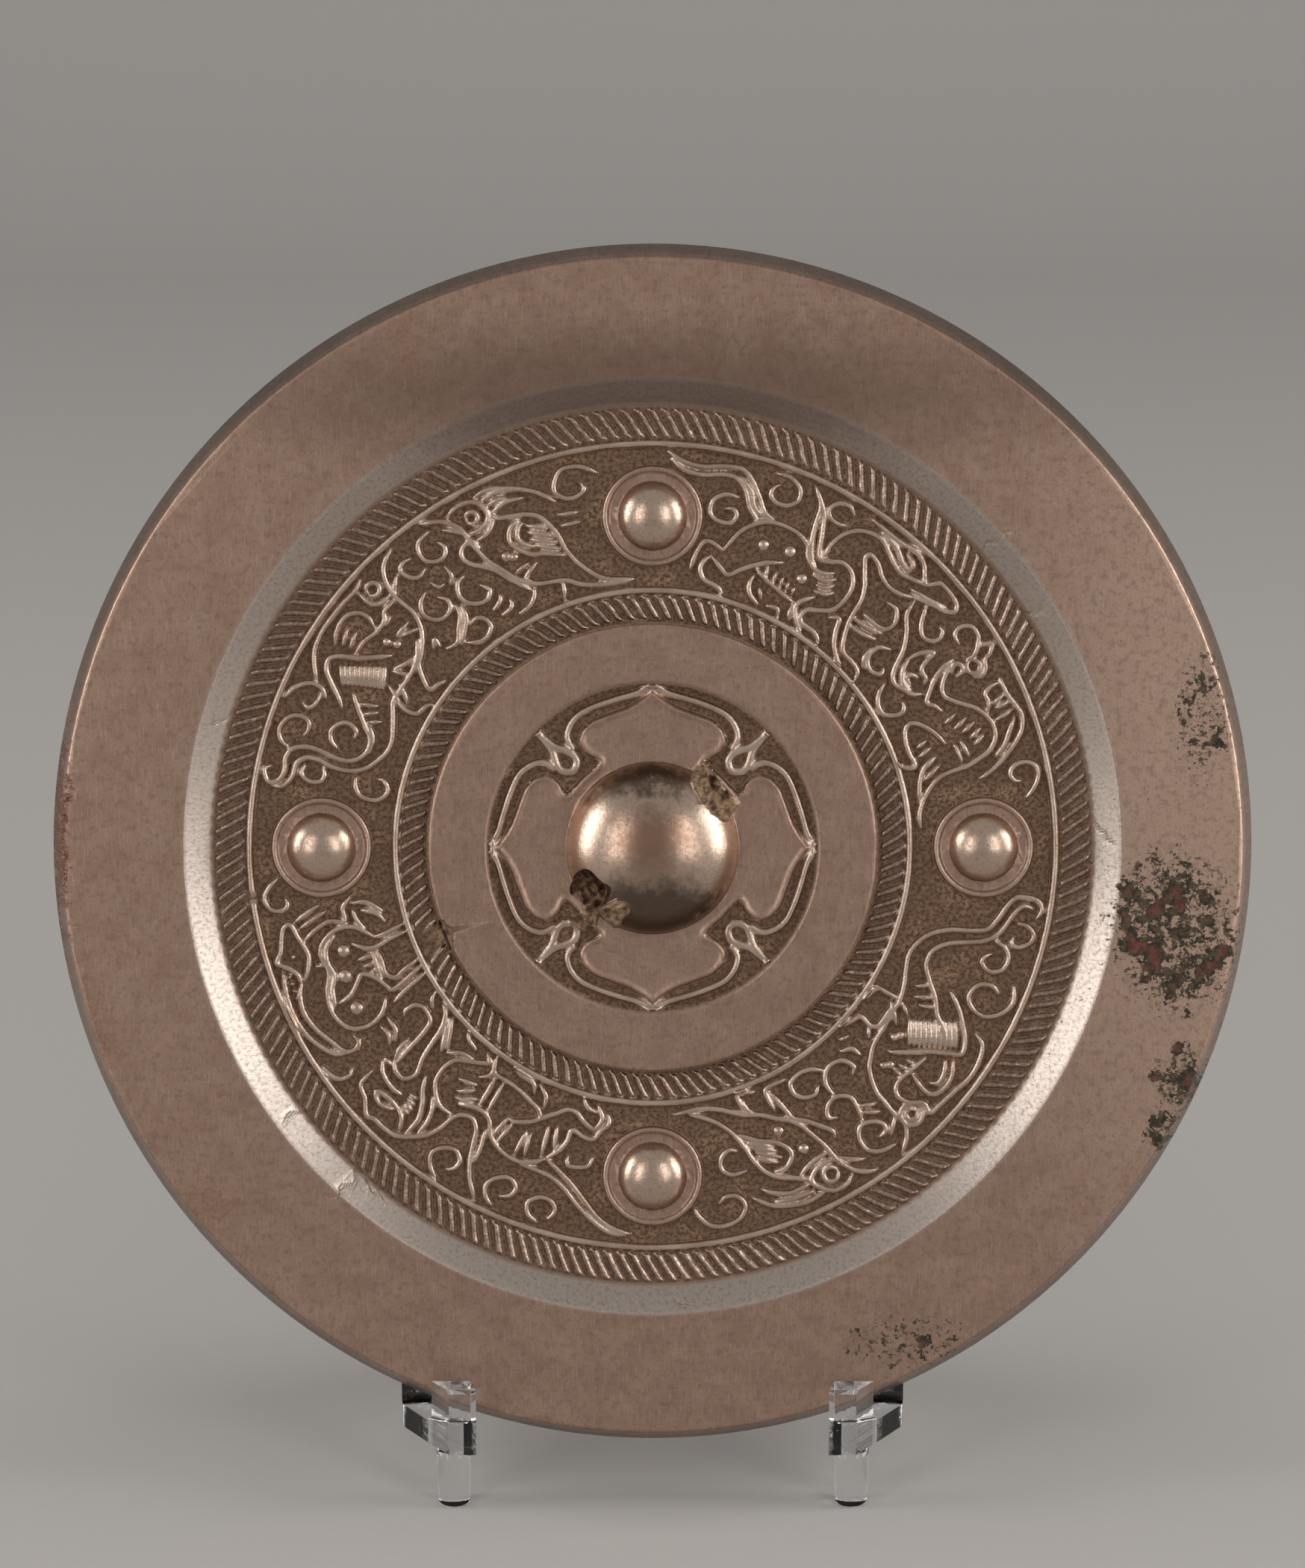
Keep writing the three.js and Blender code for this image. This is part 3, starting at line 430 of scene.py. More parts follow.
WINGED_BEAST_RIGHT = """
349.4,52 350.8,52.5 352.1,51.8 352.4,50.3 352.1,48.8 350.5,47.8 348.2,46.9 346.3,45.9 345.4,43.9
  344.6,41.2 342.8,38.8 340.2,37.5 337.4,37 334.2,37.5 331.3,38.2 328.1,38.8 325.8,38.8 322,39.1
  318.5,39.5 315.9,40.5 314,41.7 312.5,44.1 312.3,46.1 312.2,48.1 312.5,49.6 311.2,51.5 309.1,52.8
350.8,51.3 351,50 349.5,48.9 347.3,48.1 345.4,47.1 344.1,45.6 343.1,43.5 341.8,41.2 339.6,39.7
  336.7,39.7 334.2,41 331.9,42.7 329.4,44.1 328.1,45.6 326.2,46.4
334.2,44.1 332.2,46.1 330.3,47.6 328.1,49.1 326.2,49.6 325.2,48.3 323.9,46.4 322.3,44.7 320.7,43.2
  319.1,41.7
333.5,41.2 332.2,39.7
331.8,42.5 330.3,40.2
330.5,43.4 329.4,41.5
330,49.8 329,51.3 327.1,52 324.2,52.3 321,51.8 317.8,51.5 316.2,51.3 316.6,49.8 315,48.1 314.6,46.4
  316.2,45.4 319.4,45.6 322.3,46
324.6,49.2 322.6,50.3 320.4,50.5 318.5,49.8 318.2,48.1 318.8,46.1
324,48.3 322.2,49.2 320.5,49.4 319.6,48.6
320.4,45.4 320.1,44.4
319,45.4 318.6,43.9
317.4,45.3 317.4,43.7
309.6,50 311.2,48.9 312.2,48.3
327,38.3 322,38.4 320.7,37.5 320.9,35.8 319.1,35.3 316.2,34.7
318.5,38.5 320.1,37.5
328.4,38.8 328.2,36.8 327.8,35.3 324.2,34.8
323.9,40.2 325.8,38.8 327.1,37.8
326.5,40.8 328,39.3
348.2,49.6 348.1,51 347,52.1 345.7,51.8 344.7,50.5 345,49.5 346,49.5
344.7,47.3 344.1,48.8 342.5,49.7 340.6,49.3 339.8,47.8 340.6,46.5 341.8,46.6 342.5,47.3
339,51.6 336.7,52.3 334.5,51.5 333,49.8 333.2,47.8 334.8,46.6 337,47.1 337.8,48.8 337,50.2
"""

# Spots on the beasts' flanks and the birds' breasts, and the animals' eyes, as degrees, radius, size.
SPOTS = [
    (69.9, 42.8, 1.0), (65.1, 43.3, 1.0), (61.0, 40.8, 0.95), (116.6, 43.2, 0.95), (115.4, 42.7, 0.8),
    (142.2, 44.6, 0.8), (141.4, 43.3, 0.8), (208.6, 44.9, 1.15), (202.8, 44.4, 1.15),
    (198.6, 43.4, 1.1), (197.0, 50.0, 0.5), (203.0, 51.4, 0.4), (201.9, 51.4, 0.4),
    (200.8, 51.3, 0.4), (199.7, 51.3, 0.4), (296.6, 45.1, 0.95), (293.9, 41.5, 0.95),
    (317.5, 43.0, 0.8), (316.6, 42.4, 0.75), (322.8, 41.5, 0.75), (321.8, 41.0, 0.75),
]
EYES = [(118.7, 49.9, 0.8), (29.5, 48.9, 0.9), (137.2, 50.5, 0.9), (298.6, 49.8, 1.0),
        (314.1, 49.7, 1.5), (314.1, 49.7, 0.75)]


def read_ridges(text):
    """Lists of (degrees, radius) rows, one for each ridge in the text."""
    ridges = []
    for line in text.strip("\n").split("\n"):
        pairs = [[float(number) for number in pair.split(",")] for pair in line.split()]
        if line.startswith(" "):
            ridges[-1] += pairs
        else:
            ridges.append(pairs)
    return [np.array(ridge) for ridge in ridges]


def row_of_bars(first, last, count):
    """Short straight ridges, the two ends of each one moving evenly from first to last."""
    share = np.linspace(0, 1, count)[:, None, None]
    return list(np.array(first) * (1 - share) + np.array(last) * share)


def eye_ring(degrees, radius, size):
    """A closed circle of the given size round a point of the band."""
    turn = np.linspace(0, 2 * pi, 13)
    across = np.degrees(size * np.cos(turn) / radius)
    return np.stack([degrees + across, radius + size * np.sin(turn)], -1)


ridges = []
for text in (STRIDING_BEAST_UPPER_RIGHT, SCROLLS_UPPER_RIGHT, FELINE_RIGHT, BIRD_UPPER_LEFT,
             SCROLLS_UPPER_LEFT, WINGED_BEAST_LEFT, HORNED_BEAST_LEFT, STRIDING_BEAST_LOWER_LEFT,
             BIRD_LOWER_RIGHT, SCROLLS_LOWER_RIGHT, WINGED_BEAST_RIGHT):
    ridges += read_ridges(text)
ridges += row_of_bars([(152.2, 46.4), (149.7, 47.9)], [(149.6, 41.5), (145.9, 42.8)], 10)
ridges += row_of_bars([(330.0, 46.6), (326.5, 48.5)], [(326.2, 41.3), (322.4, 43.2)], 10)
ridges += [eye_ring(*eye) for eye in EYES]

# ---- Mirror: the cast form ----------------------------------------------------------------------
# One bronze casting, turned true on the rim and knob.  From the edge in: a broad flat rim, a bevel,
# a comb band, the band of figures between two threads, a finer comb, a flat ring and four leaves
# round the knob.  Heights are above the plane of the reflecting edge.

KNOB_RADIUS = 11.5
KNOB_RISE = 8.5
RING_INNER, RING_OUTER = 22.1, 29.8
THREADS = (34.2, 53.6)
BEVEL_FOOT, RIM_INNER, RIM_TOP_RADIUS = 58.4, 62.0, 78.1
VALLEY, FIELD, LEAF_GROUND = 2.7, 2.6, 3.0
COMBS = [(54.1, 58.5, 201, 0.62), (30.1, 33.8, 118, 1.0)]    # radii, teeth, degrees of slant per mm
RIDGE_HALF = 0.54
RIDGE_RISE = 0.85
NIPPLE_CIRCLE, NIPPLE_DISC, NIPPLE_DOME = 44.0, 6.9, 4.5


def blurred_profile(radius):
    """The turned profile: straight stretches between corners, rounded over by about 0.15 mm."""
    corner_r = [0, 21.2, RING_INNER, RING_OUTER, 30.2, 34.6, 34.7, 53.1, 53.2, BEVEL_FOOT, RIM_INNER,
                RIM_TOP_RADIUS, RIM_RADIUS, 2 * RIM_RADIUS - RIM_TOP_RADIUS]
    corner_z = [LEAF_GROUND, LEAF_GROUND, 4.3, 4.3, VALLEY, VALLEY, FIELD, FIELD, VALLEY, VALLEY, 6,
                6, 0, -6]
    fine = np.arange(-1.0, RIM_RADIUS + 1.9, 0.02)
    height = np.interp(np.abs(fine), corner_r, corner_z)
    kernel = np.exp(-0.5 * (np.arange(-30, 31) * 0.02 / 0.15) ** 2)
    height = np.convolve(np.pad(height, 30, mode="edge"), kernel / kernel.sum(), "valid")
    return np.interp(radius, fine, height)


def bump(distance, half):
    """A rounded ridge's section: 1 on its flattish crest, 0 at half its width, full shoulders."""
    return np.clip(1 - np.abs(distance / half) ** 2.6, 0, None) ** 0.7


def smooth_curve(points, per_span=14):
    """Points along a Catmull-Rom curve through flat x, y points."""
    ends = np.concatenate([[2 * points[0] - points[1]], points, [2 * points[-1] - points[-2]]])
    t = np.linspace(0, 1, per_span, endpoint=False)[:, None, None]
    a, b, c, d = ends[:-3], ends[1:-2], ends[2:-1], ends[3:]
    curve = 0.5 * (2 * b + (c - a) * t + (2 * a - 5 * b + 4 * c - d) * t**2
                   + (3 * b - a - 3 * c + d) * t**3)
    return np.concatenate([curve.transpose(1, 0, 2).reshape(-1, 2), points[-1:]])


def to_plane(polar):
    """Flat x, y points from (degrees, radius) rows."""
    turn = np.radians(polar[:, 0])
    return np.stack([polar[:, 1] * np.cos(turn), polar[:, 1] * np.sin(turn)], -1)


def ridge_crests(radii, turns, lines, half=RIDGE_HALF, end_length=1.3):
    """How high the lines stand over a polar grid, from 0 on the ground to 1 on a crest: the
    greatest section of any point along any line, lower and narrower towards the line's ends."""
    crest = np.zeros((len(radii), len(turns)), np.float32)
    step = turns[1] - turns[0]
    for line in lines:
        path = smooth_curve(to_plane(line))
        run = np.concatenate([[0], np.cumsum(np.hypot(*np.diff(path, axis=0).T))])
        to_end = np.minimum(run, run[-1] - run)
        size = 0.45 + 0.55 * np.sqrt(np.clip(to_end / end_length, 0, 1))
        for start in range(0, len(path), 14):
            part = path[start:start + 15]
            part_size = size[start:start + 15]
            reach = np.hypot(*part.T)
            angle = np.arctan2(part[:, 1], part[:, 0]) % (2 * pi)
            first = np.searchsorted(radii, reach.min() - half)
            last = np.searchsorted(radii, reach.max() + half)
            left = max(0, int((angle.min() - half / reach.min()) / step))
            right = int((angle.max() + half / reach.min()) / step) + 2
            if last <= first:
                continue
            r = radii[first:last, None]
            t = turns[None, left:right]
            x, y = (r * np.cos(t))[..., None], (r * np.sin(t))[..., None]
            away = np.hypot(x - part[:, 0], y - part[:, 1]) / (half * part_size)
            rise = (bump(away, 1.0) * (0.35 + 0.65 * part_size)).max(-1)
            patch = crest[first:last, left:right]
            np.maximum(patch, rise, out=patch)
    return crest


def wobble(x, y, seed, scale):
    """Smooth unevenness between about -1 and 1: a few waves in different directions."""
    rng = np.random.default_rng(seed)
    total = np.zeros(np.broadcast(x, y).shape, np.float32)
    for turn, phase, stretch in zip(rng.uniform(0, 2 * pi, 7), rng.uniform(0, 2 * pi, 7),
                                    rng.uniform(0.6, 1.9, 7)):
        total += np.sin((x * cos(turn) + y * sin(turn)) * stretch / scale + phase)
    return total / 3.5


def nearest(u, v, path):
    """The distance from each point u, v to a path of points."""
    away = (u[..., None] - path[:, 0]) ** 2 + (v[..., None] - path[:, 1]) ** 2
    return np.sqrt(away.min(-1))


LEAF_SIDE = np.array([
    (7.1, 11.4), (9.25, 9.25), (11.4, 7.1), (12.3, 8.4), (13.2, 9.3), (14.3, 9.7), (15.6, 9.3),
    (16.9, 7.9), (17.8, 5.6), (18.6, 3.4), (19.6, 1.6), (20.9, 0.0), (23.0, -3.0),
])
LEAF_THREAD = np.array([
    (21.3, 0.3), (20.5, 2.2), (19.8, 4.6), (18.9, 7.3), (17.8, 9.6), (16.3, 10.9), (14.6, 11.3),
    (13.2, 10.6),
])
DROP_SIDE = np.array([
    (21.4, 0.0), (19.8, 0.1), (18.6, 0.3), (17.6, 0.8), (16.8, 1.2), (16.0, 1.3), (15.3, 1.05),
    (14.8, 0.5), (14.7, 0.0),
])


def leaf_field(x, y):
    """The four leaves with a rounded edge, their outer threads and the drops between them, as
    (rise, raised lines, leaf plates).  The angle is folded onto half a leaf, where the leaf's side
    is a curve of its length."""
    radius = np.hypot(x, y)
    angle = np.arctan2(y, x)
    on_leaf = (angle + pi / 4) % (pi / 2) - pi / 4
    along, across = radius * np.cos(on_leaf), np.abs(radius * np.sin(on_leaf))
    inside = np.interp(along, *LEAF_SIDE.T) - across
    side = nearest(along, across, smooth_curve(LEAF_SIDE[1:12], 24))
    depth = np.where(inside > 0, side, -side)
    plate = step_up(depth, -0.5, 0.3) * (radius < 21.5)
    edge = np.exp(-((depth - 0.35) / 0.38) ** 2) * (radius < 21.5)
    on_gap = angle % (pi / 2) - pi / 4
    gap_along, gap_across = radius * np.cos(on_gap), np.abs(radius * np.sin(on_gap))
    lines = np.maximum(bump(nearest(along, across, smooth_curve(LEAF_THREAD)), 0.62),
                       bump(nearest(gap_along, gap_across, smooth_curve(DROP_SIDE)), 0.72))
    lines = lines * (radius < 21.7)
    return 0.95 * plate + 0.20 * edge + 0.80 * lines * (1 - plate), lines, plate


def step_up(value, low, high):
    """0 below low, 1 above high and an S-shaped change between."""
    share = np.clip((value - low) / (high - low), 0, 1)
    return share * share * (3 - 2 * share)


CRACKS = [
    [(42.9, 57.9), (42.1, 58.9), (42.6, 59.8), (41.8, 60.9), (42.1, 62.0), (41.4, 63.3)],
    [(32.4, 58.3), (31.6, 59.4), (32.0, 60.6)],
    [(3.5, 58.4), (3.1, 59.0), (2.3, 59.3), (2.1, 60.0), (1.2, 60.3), (0.9, 61.0), (0.3, 61.1)],
    [(228.6, 57.6), (227.4, 58.6), (228.3, 59.9), (227.3, 61.2), (227.9, 62.4), (226.9, 63.6)],
    [(217.1, 58.7), (216.2, 60.0), (216.8, 61.4)], [(272.4, 60.3), (273.6, 61.2), (275.2, 60.9)],
    [(228.9, 58.5), (230.8, 59.4), (231.6, 59.0), (233.2, 59.6)], [(163.0, 59.0), (164.2, 60.4)],
]
CHIPS = [(200.2, 0.8), (202.6, 1.5), (204.6, 1.0), (205.9, 0.7)]


def cast_surface(radii, turns, lines):
    """The decorated side over a polar grid, as arrays of height and of how far a spot is raised
    ornament (crest), rough grit (grit), rubbed bright (worn) and satin all over (satin)."""
    r, t = radii[:, None], turns[None, :]
    x, y = r * np.cos(t), r * np.sin(t)
    height = np.repeat(blurred_profile(radii)[:, None], len(turns), 1)
    crest, grit, worn, satin = (np.zeros_like(height) for _ in range(4))

    for inner, outer, teeth, slant in COMBS:
        inside = step_up(r, inner, inner + 0.5) * step_up(-r, -outer, 0.5 - outer)
        phase = teeth * (t - np.radians(slant) * (r - inner)) + 0.5 * wobble(x, y, 3, 2.2)
        tooth = (0.5 + 0.5 * np.cos(phase)) ** 0.85 * inside
        tooth = tooth * (0.90 + 0.10 * wobble(x, y, 4, 0.5))
        if inner < 40:
            tooth = tooth * (1 - 0.85 * np.exp(-((np.degrees(t) - 202.5) / 3.2) ** 4))
        height += 0.74 * tooth
        crest = np.maximum(crest, tooth)

    for thread in THREADS:
        section = bump(r - thread, 0.62) * np.ones_like(t)
        if thread > 50:
            section = section * (1 - 0.85 * np.exp(-((np.degrees(t) - 187.3) / 0.6) ** 2))
        height += 0.80 * section
        crest = np.maximum(crest, section)

    if lines:
        raised = ridge_crests(radii, turns, lines)
        for degrees, radius, size in SPOTS:
            (sx, sy), = to_plane(np.array([[degrees, radius]]))
            raised = np.maximum(raised, 1.15 * bump(np.hypot(x - sx, y - sy), size))
        raised = raised * (r > THREADS[0]) * (r < THREADS[1])
        height += RIDGE_RISE * raised
        crest = np.maximum(crest, raised)
        crack = ridge_crests(radii, turns, [np.array(line) for line in CRACKS], 0.17)
        height -= 0.22 * crack
        grit = np.maximum(grit, 0.75 * crack)
        for quarter in range(4):
            cx, cy = NIPPLE_CIRCLE * cos(quarter * pi / 2), NIPPLE_CIRCLE * sin(quarter * pi / 2)
            q = np.hypot(x - cx, y - cy)
            rim = bump(q - NIPPLE_DISC + 0.55, 0.55)
            plate = step_up(NIPPLE_DISC - q, 0, 0.4)
            dome = np.clip(1 - (q / NIPPLE_DOME) ** 2, 0, None) ** 0.6
            top = FIELD + 0.55 * plate + 0.35 * rim + 2.95 * dome
            on = q < NIPPLE_DISC + 0.1
            height = np.where(on, top, height)
            crest = np.where(on, plate, crest)
            worn = np.where(on, np.maximum(step_up(NIPPLE_DOME - q, -0.1, 0.5), 0.45 * rim), worn)
            satin = np.where(on, plate, satin)

    if radii[0] < 22:
        near = radii < 22.2
        rise, raised, plate = leaf_field(x[near], y[near])
        height[near] += rise
        crest[near] = np.maximum(raised, plate)
        satin[near] = step_up(plate, 0.6, 1.0)
        dome = KNOB_RISE * np.sqrt(np.clip(1 - (r / KNOB_RADIUS) ** 2, 0, None))
        height = np.where(r < KNOB_RADIUS, LEAF_GROUND + dome, height)
        on_knob = step_up(KNOB_RADIUS - r, -0.1, 0.4) * np.ones_like(t)
        crest, worn = np.maximum(crest, on_knob), np.maximum(worn, on_knob)
        height, crest, grit, worn = knob_damage(x, y, height, crest, grit, worn)
        satin = satin * (1 - grit)

    chip = np.zeros_like(height)
    for degrees, size in CHIPS:
        (cx, cy), = to_plane(np.array([[degrees, RING_OUTER + 0.3]]))
        chip = np.maximum(chip, bump(np.hypot(x - cx, y - cy) + 0.2 * wobble(x, y, 5, 0.4), size))
    height -= chip * 1.2 * (height > VALLEY + 0.3)
    return height, crest * (1 - chip), np.maximum(grit, chip), worn * (1 - chip), satin


def knob_damage(x, y, height, crest, grit, worn):
    """The cord hole through the knob: a broken mouth at the lower left, filled with lumps of earth,
    and sandy casting burrs that stop the hole's other mouth at the upper right."""
    ragged = wobble(x, y, 11, 0.75)
    knobbly = 0.5 + 0.5 * wobble(x, y, 13, 0.36) + 0.25 * wobble(x, y, 14, 0.18)
    turn = radians(214)

    def oval(cx, cy, long, wide, stir):
        u = ((x - cx) * cos(turn) + (y - cy) * sin(turn)) / long
        v = ((y - cy) * cos(turn) - (x - cx) * sin(turn)) / wide
        return np.hypot(u, v) + stir * ragged

    mouth = step_up(-oval(-8.5, -5.6, 2.3, 2.5, 0.20), -1.12, -0.92)
    floor = 3.3 + 1.5 * knobbly + 0.10 * (x - y)
    height = height * (1 - mouth) + np.minimum(height, floor) * mouth
    crumb = step_up(-oval(-5.3, -8.5, 2.0, 1.7, 0.28), -1.1, -0.8) * (1 - mouth)
    flake = step_up(-oval(-8.6, -9.3, 2.6, 1.5, 0.34), -1.1, -0.8) * (1 - mouth)
    height += crumb * (0.2 + 0.9 * knobbly) + flake * (0.1 + 0.5 * knobbly)
    burr = np.maximum(step_up(-oval(9.4, 6.0, 1.7, 2.1, 0.22), -1.1, -0.7),
                      step_up(-oval(7.0, 9.0, 1.7, 2.4, 0.32), -1.1, -0.7))
    cleft = np.exp(-((oval(8.9, 7.9, 1.0, 1.5, 0.25) - 0.9) / 0.28) ** 2)
    height += burr * (0.25 + 0.95 * knobbly) - 0.9 * cleft * burr
    rough = np.clip(np.maximum(burr, np.maximum(crumb, flake)), 0, 1)
    hollow = np.clip(mouth + 0.9 * cleft * burr, 0, 1)
    grit = np.maximum(grit, rough) * (1 - 0.75 * hollow)
    gone = np.maximum(rough, hollow)
    return height, crest * (1 - gone), grit, worn * (1 - gone)


def rows(*stretches):
    """Radii from stretches of (end radius, number of rows), each evenly spaced from the last."""
    radii, last = [], stretches[0]
    for end, count in stretches[1:]:
        radii.append(np.linspace(last, end, count, endpoint=False))
        last = end
    return np.concatenate(radii)


FINE_COLUMNS = 1512
COARSE_COLUMNS = FINE_COLUMNS // 3
zones = []
for radii, columns, lines in (
    (rows(0.4, (7.0, 14), (13.6, 48), (21.4, 52), (22.6, 8), (24.4, 2)), COARSE_COLUMNS, []),
    (rows(24.4, (28.6, 3), (29.5, 5), (30.5, 7), (33.4, 14), (35.0, 12), (52.8, 90), (54.4, 12),
          (58.2, 18), (59.0, 6), (61.4, 12), (62.6, 8), (64.5, 6)), FINE_COLUMNS, ridges),
    (rows(64.5, (77.4, 12), (78.6, 10), (80.01, 8)), COARSE_COLUMNS, []),
):
    turns = np.arange(columns) * 2 * pi / columns
    zones.append((radii, turns, *cast_surface(radii, turns, lines)))

# ---- Mirror: one closed skin --------------------------------------------------------------------
# The cast side and the slightly bulging reflecting side meet at the thin edge of the rim.  The fine
# skin is thinned where it is flat, and takes its shading directions from the fine heights.

REFLECTING_SAG = 1.2
SKIN_TRIANGLES = 186_000


def faces_between(inner, inner_count, outer, outer_count):
    """Triangles between two circles of points, whose counts are equal or three to one."""
    j = np.arange(min(inner_count, outer_count))
    after = (j + 1) % len(j)
    if inner_count == outer_count:
        a, b, c, d = inner + j, outer + j, outer + after, inner + after
        triangles = [(a, b, c), (a, c, d)]
    else:
        three = [(3 * j + k) % (3 * len(j)) for k in range(4)]
        if outer_count > inner_count:
            a, b = inner + j, inner + after
            f, g, h, i = (outer + k for k in three)
            triangles = [(a, f, g), (a, g, h), (a, h, b), (b, h, i)]
        else:
            a, b = outer + j, outer + after
            f, g, h, i = (inner + k for k in three)
            triangles = [(f, a, g), (g, a, b), (g, b, h), (h, b, i)]
    return np.concatenate([np.stack(corners, -1) for corners in triangles])


def mirror_to_world(x, y, z):
    """World metres from millimetres in the mirror: x right, y up its face, z out of its back."""
    return np.stack([
        x * MM,
        MIRROR_MIDDLE.y + (y * sin(LEAN) - z * cos(LEAN)) * MM,
        MIRROR_MIDDLE.z + (y * cos(LEAN) + z * sin(LEAN)) * MM,
    ], -1)


def world_to_mirror(points):
    """The same the other way: millimetres in the mirror from world metres."""
    y, z = points[:, 1] - MIRROR_MIDDLE.y, points[:, 2] - MIRROR_MIDDLE.z
    return (points[:, 0] / MM, (y * sin(LEAN) + z * cos(LEAN)) / MM,
            (z * sin(LEAN) - y * cos(LEAN)) / MM)


def reflecting_height(radius):
    """The reflecting side: a shallow dome that bulges away from the ornament."""
    return -REFLECTING_SAG * (1 - (radius / RIM_RADIUS) ** 2)


def mirror_skin():
    """Points and triangles of the whole skin, from the knob's top over the rim to the back."""
    circles = []
    for radii, turns, height, *_ in zones:
        circles += [(r, turns, z) for r, z in zip(radii, height)]
    coarse = zones[0][1]
    circles.append((RIM_RADIUS, coarse, np.zeros(COARSE_COLUMNS)))
    for r in np.linspace(RIM_RADIUS, 4, 13)[1:]:
        circles.append((r, coarse, np.full(COARSE_COLUMNS, reflecting_height(r))))
    points = [[[0, 0, LEAF_GROUND + KNOB_RISE]]]
    triangles = [[(0, 1 + j, 1 + (j + 1) % COARSE_COLUMNS) for j in range(COARSE_COLUMNS)]]
    start, last = 1, None
    for r, turns, z in circles:
        points.append(np.stack([r * np.cos(turns), r * np.sin(turns), z], -1))
        if last:
            triangles.append(faces_between(*last, start, len(turns)))
        last = (start, len(turns))
        start += len(turns)
    points.append([[0, 0, -REFLECTING_SAG]])
    first = last[0]
    triangles.append([(first + j, start, first + (j + 1) % COARSE_COLUMNS)
                      for j in range(COARSE_COLUMNS)])
    return np.concatenate(points), np.concatenate(triangles)


def at_spots(which, radius, turn):
    """Values of one of the zones' arrays (3 crest, 4 grit, 5 worn, 6 satin, or a list of one
    for each zone) at any radii and turns, blended evenly between the four nearest grid points."""
    result = np.zeros(len(radius))
    for number, zone in enumerate(zones):
        radii, turns = zone[0], zone[1]
        values = zone[which] if isinstance(which, int) else which[number]
        until = zones[number + 1][0][0] if number < 2 else RIM_RADIUS + 1
        since = radii[0] if number else -1
        here = (radius >= since) & (radius < until)
        row = np.clip(np.searchsorted(radii, radius[here]) - 1, 0, len(radii) - 2)
        down = np.clip((radius[here] - radii[row]) / (radii[row + 1] - radii[row]), 0, 1)
        column = turn[here] % (2 * pi) / (2 * pi) * len(turns)
        left = column.astype(int) % len(turns)
        right = (left + 1) % len(turns)
        over = column - np.floor(column)
        near = values[row, left] * (1 - over) + values[row, right] * over
        far = values[row + 1, left] * (1 - over) + values[row + 1, right] * over
        result[here] = near * (1 - down) + far * down
    return result


def thinned(thing, count):
    """The object with its mesh thinned to about the given number of triangles."""
    thin = thing.modifiers.new("thin", "DECIMATE")
    thin.ratio = count / len(thing.data.polygons)
    evaluated = thing.evaluated_get(bpy.context.evaluated_depsgraph_get())
    mesh = bpy.data.meshes.new_from_object(evaluated)
    thing.modifiers.clear()
    thing.data = mesh
    return thing


points, triangles = mirror_skin()
mirror = mesh_object("mirror_finish", mirror_to_world(*points.T), triangles)
mirror = thinned(mirror, SKIN_TRIANGLES)
mesh = mirror.data

place = np.empty(len(mesh.vertices) * 3)
mesh.vertices.foreach_get("co", place)
x, y, z = world_to_mirror(place.reshape(-1, 3))
corner = np.empty(len(mesh.loops), int)
mesh.loops.foreach_get("vertex_index", corner)
facing = np.empty(len(mesh.polygons) * 3)
mesh.polygons.foreach_get("normal", facing)
facing = facing.reshape(-1, 3)
is_front = np.repeat(facing[:, 2] * sin(LEAN) - facing[:, 1] * cos(LEAN) > 0, 3)

slopes = []
for radii, turns, height, *_ in zones:
    out = np.gradient(height, radii, axis=0)
    around = (np.roll(height, -1, 1) - np.roll(height, 1, 1)) / (2 * turns[1]) / radii[:, None]
    slopes.append((out, around))


def drawn_in(values):
    """Each corner's value, moved at most a third of the way and 0.3 mm towards its triangle's
    middle, so that a wide flat triangle isn't shaded by the step it ends at."""
    corners = values[corner].reshape(-1, 3)
    middle = corners.mean(1, keepdims=True)
    return (corners + (middle - corners) * draw).ravel()


corner_x, corner_y = x[corner].reshape(-1, 3), y[corner].reshape(-1, 3)
away = np.hypot(corner_x - corner_x.mean(1, keepdims=True), corner_y - corner_y.mean(1, keepdims=True))
draw = np.minimum(0.35, 0.32 / np.maximum(away, 1e-6))
near_x, near_y = drawn_in(x), drawn_in(y)
radius, turn = np.hypot(near_x, near_y), np.arctan2(near_y, near_x)
out = at_spots([slope[0] for slope in slopes], radius, turn)
around = at_spots([slope[1] for slope in slopes], radius, turn)
front = np.stack([around * np.sin(turn) - out * np.cos(turn),
                  -around * np.cos(turn) - out * np.sin(turn), np.ones(len(turn))], -1)
sag = 2 * REFLECTING_SAG / RIM_RADIUS**2
back = np.stack([near_x * sag, near_y * sag, -np.ones(len(turn))], -1)
shading = np.where(is_front[:, None], front, back)
shading /= np.linalg.norm(shading, axis=1)[:, None]
mesh.normals_split_custom_set(np.stack([
    shading[:, 0],
    shading[:, 1] * sin(LEAN) - shading[:, 2] * cos(LEAN),
    shading[:, 1] * cos(LEAN) + shading[:, 2] * sin(LEAN),
], -1).tolist())

radius, turn = np.hypot(x, y), np.arctan2(y, x)
is_back = (z < 0.0) & (radius < RIM_RADIUS - 0.5)
for number, name in ((3, "crest"), (4, "grit"), (5, "worn"), (6, "satin")):
    values = np.where(is_back, 0.0, at_spots(number, radius, turn))
    mesh.attributes.new(name, "FLOAT", "POINT").data.foreach_set("value", values.astype(np.float32))
reflecting = mesh.attributes.new("reflecting", "FLOAT", "POINT")
reflecting.data.foreach_set("value", is_back.astype(np.float32))
plan = mesh.uv_layers.new(name="plan")
flat = np.stack([x, y], -1)[corner] / (2 * RIM_RADIUS) + 0.5
plan.data.foreach_set("uv", flat.astype(np.float32).ravel())

